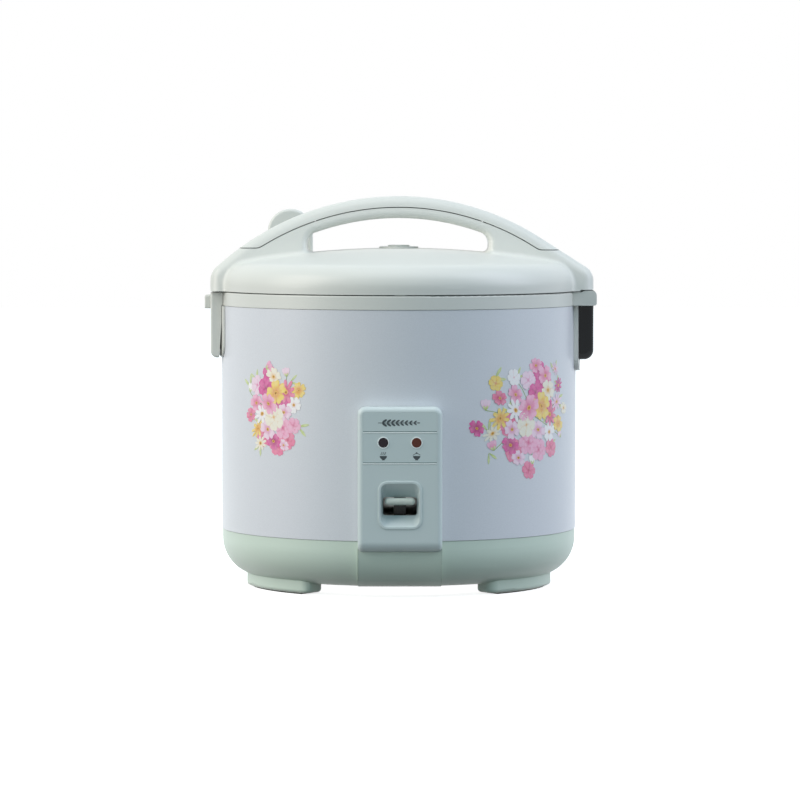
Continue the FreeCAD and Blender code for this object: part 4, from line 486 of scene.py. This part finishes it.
# %% Dress the pieces by their slots
finishes = {
    "ivory_plastic": ivory, "shell_paint": drum_paint, "panel_plastic": panel_grey,
    "inlay_plastic": inlay_grey, "smoke_plastic": smoke, "lamp_plastic": amber_lens,
    "knob_plastic": knob_grey, "dark_plastic": dark_plastic, "board": board_brown,
    "foot_rubber": foot_rubber, "seal_rubber": seal_silicone, "pan_coating": pan_metal,
    "aluminium": spun_aluminium, "cast_aluminium": cast_aluminium, "casing_steel": rolled_steel,
    "plain_steel": zinc_steel, "element_steel": tinted_steel, "spring_steel": drawn_wire,
    "heater_cloth": glass_cloth, "brass": brass, "ferrite": ferrite,
}
# partly the base's own tone, partly painted cool shade
base_tone_and_shade = plastic("base plastic with painted shade", colour(209, 224, 211), 0.4)
black_steel = plastic("blackened steel", colour(14, 18, 18), 0.5)
single = {
    "cook_lamp_lens": dark_lens, "switch_lever": black_steel, "base_housing": base_tone_and_shade,
    "base_front_cover": base_tone_and_shade,
}
for part in frame["record"]["subparts"]:
    mesh = nodes[part["node"]].data
    mesh.materials.clear()
    mesh.materials.append(single.get(part["node"], finishes[part["material_slot"]]))
print(len(finishes), "finishes on", len(nodes), "pieces")

# %% [markdown]
# ## Blossoms printed on the drum
#
# The drum carries two bunches of blossoms, printed under its clear coat. A printed flower is a few
# flat shapes laid over each other, so that is how it is built: each petal is a small grid, pressed
# into a petal's outline, turned about the flower's middle and then wrapped onto the drum. Each
# flower lies a few thousandths of a millimetre above the one before, as ink does. The paint of a
# petal follows its own UV map: across from edge to edge, and along from throat to tip.

# %% Node group: hand-painted petal
def make_petal_paint():
    made, given, out = group("painted petal", {
        "Throat": ("colour", (0.6, 0.1, 0.2, 1)), "Tip": ("colour", (0.9, 0.6, 0.7, 1)),
        "Veins": ("number", 0.35), "Wash": ("number", 0.3), "Reach": ("number", 0.55),
    }, {"Colour": "colour"})
    where = made.nodes.new("ShaderNodeTexCoord").outputs
    across, along, _ = place(made, "ShaderNodeSeparateXYZ", {0: where["UV"]}).outputs
    away = span(made, along, 0.0, given["Reach"])
    fan = place(made, "ShaderNodeCombineXYZ", {0: sums(made, "MULTIPLY", across, 9.0),
                                               1: sums(made, "MULTIPLY", along, 1.3)}).outputs[0]
    brush = sway(made, noise(made, fan, scale=1.0), given["Veins"])
    share = sums(made, "ADD", away, sums(made, "MULTIPLY", brush, 2.0))
    body = blend_colours(made, span(made, share, 0.0, 1.0), given["Throat"], given["Tip"])
    pool = span(made, noise(made, where["Object"], scale=330.0), 0.35, 0.7)
    washed = blend_colours(made, sums(made, "MULTIPLY", pool, given["Wash"]), body, colour(246, 240, 244))
    edge = sums(made, "MULTIPLY", span(made, sums(made, "ABSOLUTE", across), 0.75, 1.0, 0.0, 0.35), away)
    made.links.new(blend_colours(made, edge, washed, given["Throat"]), out["Colour"])
    return made


painted_petal = make_petal_paint()


def petal_paint(name, throat, tip, veins=0.35, wash=0.2, reach=0.7):
    made, tree, shader = material(name, Roughness=0.4, Coat_Weight=0.35, Coat_Roughness=0.16)
    paint = fill(tree, painted_petal, {"Throat": throat, "Tip": tip, "Veins": veins, "Wash": wash,
                                       "Reach": reach})
    tree.links.new(paint["Colour"], shader["Base Color"])
    return made


PAINTS = {
    "rose": petal_paint("rose petal", colour(196, 34, 92), colour(238, 126, 164), wash=0.2),
    "magenta": petal_paint("magenta petal", colour(158, 24, 96), colour(222, 84, 158), wash=0.15),
    "pink": petal_paint("pink petal", colour(214, 62, 126), colour(246, 178, 208), wash=0.25),
    "blush": petal_paint("blush petal", colour(222, 112, 164), colour(246, 218, 234), reach=0.55),
    "white": petal_paint("white petal", colour(232, 168, 176), colour(252, 250, 250), reach=0.35),
    "cream": petal_paint("cream petal", colour(232, 172, 84), colour(246, 240, 222), reach=0.45),
    "yellow": petal_paint("yellow petal", colour(222, 116, 44), colour(246, 216, 104), reach=0.6),
    "leaf": petal_paint("leaf", colour(150, 178, 84), colour(204, 218, 146), wash=0.2),
    "stem": petal_paint("stem", colour(138, 164, 80), colour(176, 194, 112), veins=0.1),
    "heart": petal_paint("flower heart", colour(206, 92, 48), colour(240, 196, 80), veins=0.2, wash=0.1),
}
print("petal paints", sorted(PAINTS))

# %% [markdown]
# A petal starts as a grid from -1 to 1 both ways. Pulling the corners in turns the square into a
# disc with no pinched faces, and a wedge factor makes the disc narrow at its throat. A notch pulls
# the middle of the tip back, as on a cherry or an apple blossom.

# %% A petal in the flat, and the wrap onto the drum
DRUM_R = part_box("outer_shell")[1].x
INK = 0.03 * MM
INK_STEP = 0.0045 * MM
PAINT_ORDER = list(PAINTS)


def add_petal(mesh, at, turn, length, width, kind, layer, throat=0.3, notch=0.0, squeeze=1.0, lean=0.0):
    """One petal of a flower whose middle is at (along the drum, height), in the print's flat plane."""
    uv = mesh.loops.layers.uv.verify()
    verts = bmesh.ops.create_grid(mesh, x_segments=4, y_segments=5, size=1.0)["verts"]
    spots = {}
    for vert in verts:
        x, y = vert.co.x, vert.co.y
        across, along = x * sqrt(1 - y * y / 2), y * sqrt(1 - x * x / 2)
        share = (along + 1) / 2
        spots[vert] = (across, share)
        out = length * (share - notch * share ** 3 * (1 - abs(across)) ** 2)
        side = width / 2 * across * (throat + (1 - throat) * share)
        flat = Matrix.Rotation(-turn, 2) @ Vector((side, out))
        flat = Matrix.Rotation(lean, 2) @ Vector((flat.x, flat.y * squeeze))
        vert.co = (at[0] + flat.x, at[1] + flat.y, INK + layer * INK_STEP)
    for face in {face for vert in verts for face in vert.link_faces}:
        face.material_index = PAINT_ORDER.index(kind)
        for loop in face.loops:
            loop[uv].uv = spots[loop.vert]


def on_drum(mesh):
    """Wraps the flat print onto the drum: x runs round it, y up it and z off its surface."""
    for vert in mesh.verts:
        turn = vert.co.x / DRUM_R
        radius = DRUM_R + vert.co.z
        vert.co = (sin(turn) * radius, -cos(turn) * radius, vert.co.y)


print("drum radius", round(DRUM_R / MM, 1), "mm")

# %% [markdown]
# Four kinds of flower are enough for a lively bunch: an open five-petal blossom, a daisy with
# narrow petals, a double rosette, and a bud seen from the side. `squeeze` and `lean` flatten a
# flower as if it faced away, which keeps a bunch from looking stamped.

# %% Flowers, leaves and stems
STEM_WIDTH = 0.5 * MM
MOST_LEAN = 0.8


def facing(rng, flattest, roundest=1.0):
    """A flower's turn, and how much and which way it is flattened, as if it faced aside."""
    return rng.uniform(0, pi), rng.uniform(flattest, roundest), rng.uniform(-MOST_LEAN, MOST_LEAN)


def add_heart(mesh, at, size, layer, squeeze, lean):
    for step in range(6):
        add_petal(mesh, at, step * pi / 3, size, size, "heart", layer, throat=0.6, squeeze=squeeze, lean=lean)


def open_blossom(mesh, at, size, paint, layer, rng):
    turn, squeeze, lean = facing(rng, 0.72)
    for step in range(5):
        swing = rng.uniform(-0.08, 0.08)
        length = size * rng.uniform(0.92, 1.05)
        add_petal(mesh, at, turn + step * 2 * pi / 5 + swing, length, size * 1.02, paint, layer + step / 8,
                  throat=0.35, notch=0.16, squeeze=squeeze, lean=lean)
    add_heart(mesh, at, size * 0.17, layer + 0.8, squeeze, lean)


def daisy(mesh, at, size, paint, layer, rng):
    turn, squeeze, lean = facing(rng, 0.6, 0.95)
    count = 9
    for step in range(count):
        add_petal(mesh, at, turn + step * 2 * pi / count, size * rng.uniform(0.86, 1.05), size * 0.42, paint,
                  layer + step / 12, throat=0.45, squeeze=squeeze, lean=lean)
    add_heart(mesh, at, size * 0.2, layer + 0.85, squeeze, lean)


def rosette(mesh, at, size, paint, layer, rng):
    turn, squeeze, lean = facing(rng, 0.8)
    for ring_index, (share, count) in enumerate(((1.0, 6), (0.7, 5), (0.42, 4))):
        for step in range(count):
            add_petal(mesh, at, turn + ring_index * 0.5 + step * 2 * pi / count, size * share,
                      size * share * 0.95, paint, layer + ring_index * 0.3 + step / 30, throat=0.5,
                      notch=0.08, squeeze=squeeze, lean=lean)


def bud(mesh, at, size, paint, layer, rng):
    turn = rng.uniform(-1.2, 1.2)
    for step, swing in enumerate((-0.42, 0.42, 0.0)):
        add_petal(mesh, at, turn + swing, size, size * 0.6, paint, layer + step / 4, throat=0.4)
    for swing in (-0.5, 0.5):
        add_petal(mesh, at, turn + swing, size * 0.45, size * 0.25, "leaf", layer + 0.9, throat=0.5)


def leaf_pair(mesh, at, size, layer, rng):
    turn = rng.uniform(0, 2 * pi)
    for swing in (-0.5, 0.5):
        add_petal(mesh, at, turn + swing, size, size * 0.36, "leaf", layer, throat=0.2, notch=-0.15)


def stroke(mesh, start, end, bow, width, height):
    """A thin bent line from one flat point to another, height off the surface."""
    verts = bmesh.ops.create_grid(mesh, x_segments=1, y_segments=10, size=1.0)["verts"]
    first, last = Vector(start), Vector(end)
    side = (last - first).orthogonal().normalized()
    for vert in verts:
        share = (vert.co.y + 1) / 2
        spot = first.lerp(last, share) + side * (bow * sin(pi * share) + vert.co.x * width / 2)
        vert.co = (spot.x, spot.y, height)
    return verts


def stem(mesh, start, end, bow, layer):
    """A flower's stem, a stroke in the stem's paint."""
    verts = stroke(mesh, start, end, bow, STEM_WIDTH, INK + layer * INK_STEP)
    for face in {face for vert in verts for face in vert.link_faces}:
        face.material_index = PAINT_ORDER.index("stem")


print("flowers", open_blossom.__name__, daisy.__name__, rosette.__name__, bud.__name__)

# %% [markdown]
# ## Two bunches
#
# Flowers of a bunch are set by the golden angle, as seeds are in a sunflower: it spreads them evenly
# with no rows. The big ones are in the middle, small ones and buds at the edge, and leaves in
# between. The random numbers have a fixed seed, so the print is the same each time.

# %% Grow a bunch and dress it in paint
GOLDEN = pi * (3 - sqrt(5))
STEM_BOW = 4 * MM
LEAF_SCATTER = 4 * MM
LEAF_LENGTHS = (6 * MM, 9 * MM)
BACKING_SIZE = 11.5 * MM
BACKING_ASIDE = 3.5 * MM
BLOOM_SIZE = 11.2 * MM
KINDS = (open_blossom, rosette, open_blossom, daisy)
TINTS = ("pink", "magenta", "cream", "blush", "yellow", "rose", "white", "pink", "blush")


def piece(name, mesh, finishes_of_piece, body="cooker"):
    """A finished bmesh as an object in the scene, with its finishes, that rides on a body."""
    made = bpy.data.objects.new(name, bpy.data.meshes.new(name))
    mesh.to_mesh(made.data)
    mesh.free()
    for finish in finishes_of_piece:
        made.data.materials.append(finish)
    bpy.context.collection.objects.link(made)
    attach(made, body)
    return made


def bunch(name, middle, half_width, half_height, lean, count, seed):
    """An oval bunch of flowers on the drum, its middle in degrees off the front and metres up."""
    rng = random.Random(seed)
    mesh = bmesh.new()
    centre = Vector((radians(middle[0]) * DRUM_R, middle[1]))
    tilt = Matrix.Rotation(lean, 2)
    spots = []
    for index in range(count):
        reach = sqrt((index + 0.5) / count)
        around = index * GOLDEN + seed
        spot = tilt @ Vector((cos(around) * reach * half_width, sin(around) * reach * half_height))
        spots.append((reach, centre + spot))
    layer = 0
    for _, spot in spots[::3]:
        stem(mesh, centre, spot, rng.uniform(-STEM_BOW, STEM_BOW), layer)
    for _, spot in spots[1::2]:
        layer += 1
        aside = Vector((rng.uniform(-1, 1), rng.uniform(-1, 1))) * LEAF_SCATTER
        leaf_pair(mesh, spot + aside, rng.uniform(*LEAF_LENGTHS), layer, rng)
    for index, (reach, spot) in enumerate(spots[2::4]):
        layer += 1
        aside = Vector((rng.choice((-1, 1)), rng.choice((-1, 1)))) * BACKING_ASIDE
        size = BACKING_SIZE * (1 - 0.4 * reach)
        rosette(mesh, spot + aside, size, ("magenta", "rose")[index % 2], layer, rng)
    for index, (reach, spot) in reversed(list(enumerate(spots))):
        layer += 1
        size = BLOOM_SIZE * (1 - 0.45 * reach) * rng.uniform(0.85, 1.15)
        kind = bud if reach > 0.8 and index % 3 == 0 else KINDS[index % len(KINDS)]
        kind(mesh, spot, size, TINTS[(index * 2) % len(TINTS)], layer, rng)
    bmesh.ops.solidify(mesh, geom=mesh.faces[:], thickness=INK / 3)
    on_drum(mesh)
    return piece(name, mesh, PAINTS.values())


left_bunch = bunch("print_left", (-44.5, 0.127), half_width=0.026, half_height=0.030, lean=-0.35, count=23,
                   seed=3)
right_bunch = bunch("print_right", (46, 0.122), half_width=0.047, half_height=0.036, lean=0.2, count=34,
                    seed=8)
print("faces in the print", len(left_bunch.data.polygons), len(right_bunch.data.polygons))

# %% [markdown]
# ## Marks on the front panel
#
# Three things make the panel read as a real one. Under each inlay lie two slim bars: a dark one painted
# as the shade on a groove's upper wall, and a light one under it painted as the highlight on its lower
# wall, so a dark line has a light line under it. Each lamp lens sits in a thin moulded ring in the
# same light colour. And small signs are printed on the inlays: a bowl with steam for cooking, a
# covered bowl for keeping warm, and an ear of rice as an ornament on top.

# %% Painted shade and highlight lines under the inlays, and rings round the lenses
badge_low, badge_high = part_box("badge_plate")
indicator_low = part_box("indicator_plate")[0]
FACE = badge_low.y
DARK_LINE = 0.6 * MM
DARK_PROUD = 0.03 * MM
LIGHT_LINE = 0.75 * MM
LIGHT_PROUD = 0.25 * MM
RING_WIRE = 0.35 * MM
# painted shade and painted highlight: no groove is cut, the bars carry its dark and light colours
painted_shade_line = plastic("painted groove shade", colour(96, 116, 116), 0.6, dust=0.0)
painted_highlight = plastic("painted groove highlight", colour(244, 250, 248), 0.35, dust=0.0)


def line_across(name, high, height, proud, finish):
    """A slim bevelled bar across the panel, with its top at a height, that stands proud of the face."""
    mesh = bmesh.new()
    bmesh.ops.create_cube(mesh, size=1.0)
    bmesh.ops.scale(mesh, vec=(badge_high.x - badge_low.x, 4 * proud, height), verts=mesh.verts)
    bmesh.ops.bevel(mesh, geom=mesh.edges[:], offset=proud, segments=2, profile=0.5, affect="EDGES",
                    material=-1)
    bmesh.ops.translate(mesh, vec=(0, FACE + proud, high - height / 2), verts=mesh.verts)
    return piece(name, mesh, [finish])


for name, top in (("upper", badge_low.z), ("lower", indicator_low.z)):
    line_across(f"painted_shade_line_{name}", top, DARK_LINE, DARK_PROUD, painted_shade_line)
    line_across(f"painted_highlight_{name}", top - DARK_LINE, LIGHT_LINE, LIGHT_PROUD, painted_highlight)


def ring_round(name, node):
    """A thin round ring at the edge of a lens, in the painted highlight's light colour."""
    low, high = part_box(node)
    middle = (low + high) / 2
    mesh = bmesh.new()
    bmesh.ops.create_circle(mesh, segments=10, radius=RING_WIRE)
    bmesh.ops.translate(mesh, vec=((high.x - low.x) / 2 + RING_WIRE / 2, 0, 0), verts=mesh.verts)
    bmesh.ops.spin(mesh, geom=mesh.verts[:] + mesh.edges[:], cent=(0, 0, 0), axis=(0, 1, 0), angle=2 * pi,
                   steps=48, use_merge=True)
    bmesh.ops.recalc_face_normals(mesh, faces=mesh.faces)
    bmesh.ops.translate(mesh, vec=(middle.x, FACE, middle.z), verts=mesh.verts)
    # the ring's colour is a painted highlight
    return piece(name, mesh, [painted_highlight])


rings_made = [ring_round("lens_ring_left", "cook_lamp_lens"), ring_round("lens_ring_right", "warm_lamp_lens")]
print("grooves at", round(badge_low.z, 4), round(indicator_low.z, 4), "and", len(rings_made), "rings")

# %% [markdown]
# A sign is drawn flat, as the blossoms are, from strokes and discs. Then it gets less than a hair's
# thickness and is stood up against the panel's face. A disc that is cut in half is a bowl, and a disc
# that is pulled long is a grain of rice.

# %% Printed signs
SIGN_HEIGHT = 0.05 * MM
sign_ink = plastic("sign ink", colour(40, 52, 56), 0.55, dust=0.0, edge=0.0)


def disc(mesh, at, length, width, turn=0):
    """A flat oval about a point."""
    verts = bmesh.ops.create_circle(mesh, cap_ends=True, segments=24, radius=0.5)["verts"]
    bmesh.ops.scale(mesh, vec=(length, width, 1), verts=verts)
    bmesh.ops.rotate(mesh, cent=(0, 0, 0), matrix=Matrix.Rotation(turn, 3, "Z"), verts=verts)
    bmesh.ops.translate(mesh, vec=(at[0], at[1], SIGN_HEIGHT), verts=verts)


def sign(name, x, z, draw):
    """A flat drawing made solid and stood against the panel's face at x and z."""
    mesh = bmesh.new()
    draw(mesh)
    bmesh.ops.solidify(mesh, geom=mesh.faces[:], thickness=SIGN_HEIGHT / 2)
    bmesh.ops.rotate(mesh, cent=(0, 0, 0), matrix=Matrix.Rotation(pi / 2, 3, "X"), verts=mesh.verts)
    bmesh.ops.translate(mesh, vec=(x, FACE, z), verts=mesh.verts)
    return piece(name, mesh, [sign_ink])


BOWL = 4.8 * MM
LINE = 0.4 * MM
LAMP_SIGNS_UP = 4.3 * MM
EAR_DOWN = 0.6 * MM


def bowl(mesh):
    """The lower half of a disc on a small foot, drawn first."""
    disc(mesh, (0, 0), BOWL, BOWL)
    bmesh.ops.bisect_plane(mesh, geom=mesh.verts[:] + mesh.edges[:] + mesh.faces[:], plane_co=(0, 0, 0),
                           plane_no=(0, 1, 0), clear_outer=True)
    stroke(mesh, (-BOWL / 5, -BOWL / 2), (BOWL / 5, -BOWL / 2), 0, 2 * LINE, SIGN_HEIGHT)


def steaming_bowl(mesh):
    bowl(mesh)
    for x in (-BOWL / 4, 0, BOWL / 4):
        stroke(mesh, (x, BOWL / 8), (x, BOWL / 3), LINE, LINE, SIGN_HEIGHT)
        stroke(mesh, (x, BOWL / 3), (x, BOWL * 0.54), -LINE, LINE, SIGN_HEIGHT)


def covered_bowl(mesh):
    bowl(mesh)
    stroke(mesh, (-BOWL / 2, BOWL / 10), (BOWL / 2, BOWL / 10), BOWL / 4, LINE, SIGN_HEIGHT)
    disc(mesh, (0, BOWL * 0.42), 2.5 * LINE, 2.5 * LINE)


def rice_ear(mesh):
    """A stem with pairs of slanting grains that get smaller towards the tip."""
    pairs, pitch, grain, slant = 8, 2.9 * MM, 3.6 * MM, 0.55
    half = pairs * pitch / 2
    stroke(mesh, (-half - pitch, 0), (half, 0), 0, LINE, SIGN_HEIGHT)
    for step in range(pairs):
        size = grain * (1 - 0.45 * step / pairs)
        for side in (-1, 1):
            disc(mesh, (-half + (step + 0.5) * pitch, side * size * 0.36), size, size * 0.42, side * slant)
    disc(mesh, (half + pitch / 4, 0), grain * 0.55, grain * 0.2)


sign_z = indicator_low.z + LAMP_SIGNS_UP
ear_z = (badge_low.z + badge_high.z) / 2 - EAR_DOWN
cooking_x, warm_x = [sum(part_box(lens), Vector()).x / 2 for lens in ("cook_lamp_lens", "warm_lamp_lens")]
signs = [
    sign("sign_cooking", cooking_x, sign_z, steaming_bowl),
    sign("sign_warm", warm_x, sign_z, covered_bowl),
    sign("sign_rice_ear", 0, ear_z, rice_ear),
]
print("signs", [made.name for made in signs])

# %% [markdown]
# ## Ribs inside the grip
#
# The handle is a hollow moulding, closed by the grip cap, with an open seam along its middle. Two
# thin ribs under the cap stiffen it and keep the seam dark, because no light gets through from
# behind. A ray cast upwards from below finds the cap's lower edge, so the ribs follow the arch.

# %% Two ribs that follow the arch
RIB_HALF_LENGTH = 57 * MM
RIB_HEIGHT = 4.5 * MM
RIB_WALL = 1.2 * MM
RIB_ASIDE = 8 * MM
EDGE_ASIDE = 15 * MM
RAY_SHIFT = 0.1 * MM
grip = nodes["handle_grip"]
bpy.context.view_layer.update()
into_grip = grip.matrix_world.inverted()
upwards = (into_grip.to_3x3() @ Vector((0, 0, 1))).normalized()
start_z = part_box("lid_cover")[0].z


def cap_edge(x):
    """Height of the cap's lower edge above x. A ray that slips between two faces is cast again beside x."""
    for aside in (0, RAY_SHIFT, -RAY_SHIFT, 3 * RAY_SHIFT, -3 * RAY_SHIFT):
        start = into_grip @ Vector((x + aside, -EDGE_ASIDE, start_z))
        hit, spot, _, _ = grip.ray_cast(start, upwards)
        if hit:
            return (grip.matrix_world @ spot).z
    raise ValueError(f"no grip cap above x = {x}")


def grip_rib(name, y):
    """A thin upright plate inside the handle, curved like the cap's lower edge."""
    mesh = bmesh.new()
    verts = bmesh.ops.create_grid(mesh, x_segments=40, y_segments=2, size=1.0)["verts"]
    for vert in verts:
        x = vert.co.x * RIB_HALF_LENGTH
        vert.co = (x, y, cap_edge(x) + vert.co.y * RIB_HEIGHT / 2)
    bmesh.ops.solidify(mesh, geom=mesh.faces[:], thickness=RIB_WALL)
    return piece(name, mesh, [ivory], body="lid")


ribs = [grip_rib("grip_rib_front", -RIB_ASIDE), grip_rib("grip_rib_back", RIB_ASIDE)]
print("ribs", [made.name for made in ribs], "seam at the middle", round(cap_edge(0), 4))

# %% [markdown]
# ## Floor, backdrop and light
#
# The floor takes the cooker's shadow but looks white, and so does what is behind it. Light Path
# tells camera, mirror and see-through rays from the rays that light the cooker, so the white is
# only seen and doesn't wash the cooker out.

# %% A floor that looks white and keeps the shadow
FLOOR_HALF = 6.0
FLOOR_BOUNCE = (0.05, 0.06, 0.06, 1)
FLOOR_GLOW = 0.82


def seen_share(tree):
    """1 for rays that look at a thing, 0 for rays that carry its light to others."""
    path = tree.nodes.new("ShaderNodeLightPath").outputs
    first = sums(tree, "MAXIMUM", path["Is Camera Ray"], path["Is Glossy Ray"])
    return sums(tree, "MAXIMUM", first, path["Is Transmission Ray"])


def white_floor():
    made, tree, shader = material("studio floor", Roughness=0.9)
    seen = seen_share(tree)
    tone = place(tree, "ShaderNodeTexNoise", {"Scale": 3.0}).outputs["Fac"]
    paper = blend_colours(tree, tone, (0.78, 0.78, 0.78, 1), (0.8, 0.8, 0.8, 1))
    tree.links.new(blend_colours(tree, seen, FLOOR_BOUNCE, paper), shader["Base Color"])
    shader["Emission Color"].default_value = (1, 1, 1, 1)
    tree.links.new(sums(tree, "MULTIPLY", seen, FLOOR_GLOW), shader["Emission Strength"])
    return made


sheet = bmesh.new()
bmesh.ops.create_grid(sheet, x_segments=1, y_segments=1, size=FLOOR_HALF)
floor = bpy.data.objects.new("floor", bpy.data.meshes.new("floor"))
sheet.to_mesh(floor.data)
sheet.free()
floor.data.materials.append(white_floor())
bpy.context.collection.objects.link(floor)
print("floor", floor.dimensions[:])

# %% The world: white to look at, cool and dim as a light
AMBIENT = (0.34, 0.475, 0.53, 1.0)
world = bpy.data.worlds.new("studio")
bpy.context.scene.world = world
world.use_nodes = True
sky = world.node_tree
backdrop = sky.nodes["Background"]
sky.links.new(blend_colours(sky, seen_share(sky), AMBIENT, (1, 1, 1, 1)), backdrop.inputs["Color"])
print("ambient", AMBIENT[:3])

# %% [markdown]
# Three soft boxes: a large warm one on the left, a cooler one of the same size on the right, at about
# three quarters of its strength, and a weak one overhead. Nothing lights the front, so the drum falls
# off to a soft blue-grey in its middle and the panel's rounded rim stands out at both sides.

# %% Soft boxes
def soft_box(name, watts, tint, size, height, turn, lift, away):
    """A rectangular light that looks at the axis at a height, from turn degrees round and lift degrees up."""
    light = bpy.data.objects.new(name, bpy.data.lights.new(name, "AREA"))
    light.data.energy = watts
    light.data.color = tint
    light.data.shape = "RECTANGLE"
    light.data.size, light.data.size_y = size
    aim = Vector((0, 0, height))
    back = Vector((sin(radians(turn)) * cos(radians(lift)), -cos(radians(turn)) * cos(radians(lift)),
                   sin(radians(lift))))
    light.location = aim + back * away
    light.rotation_euler = back.to_track_quat("Z", "Y").to_euler()
    bpy.context.collection.objects.link(light)
    return light


left_box = soft_box("left box", 20.5, (1.0, 0.92, 0.85), (1.0, 1.6), height=0.15, turn=-70, lift=26, away=1.7)
right_box = soft_box("right box", 15.0, (0.9, 0.89, 1.0), (1.0, 1.6), height=0.15, turn=78, lift=36, away=1.7)
top_box = soft_box("top box", 3.8, (1.0, 0.95, 0.96), (1.4, 1.0), height=0.2, turn=0, lift=78, away=1.6)
print("boxes", [(light.name, light.data.energy) for light in (left_box, right_box, top_box)])

# %% Plain colour management
bpy.context.scene.view_settings.view_transform = "Standard"
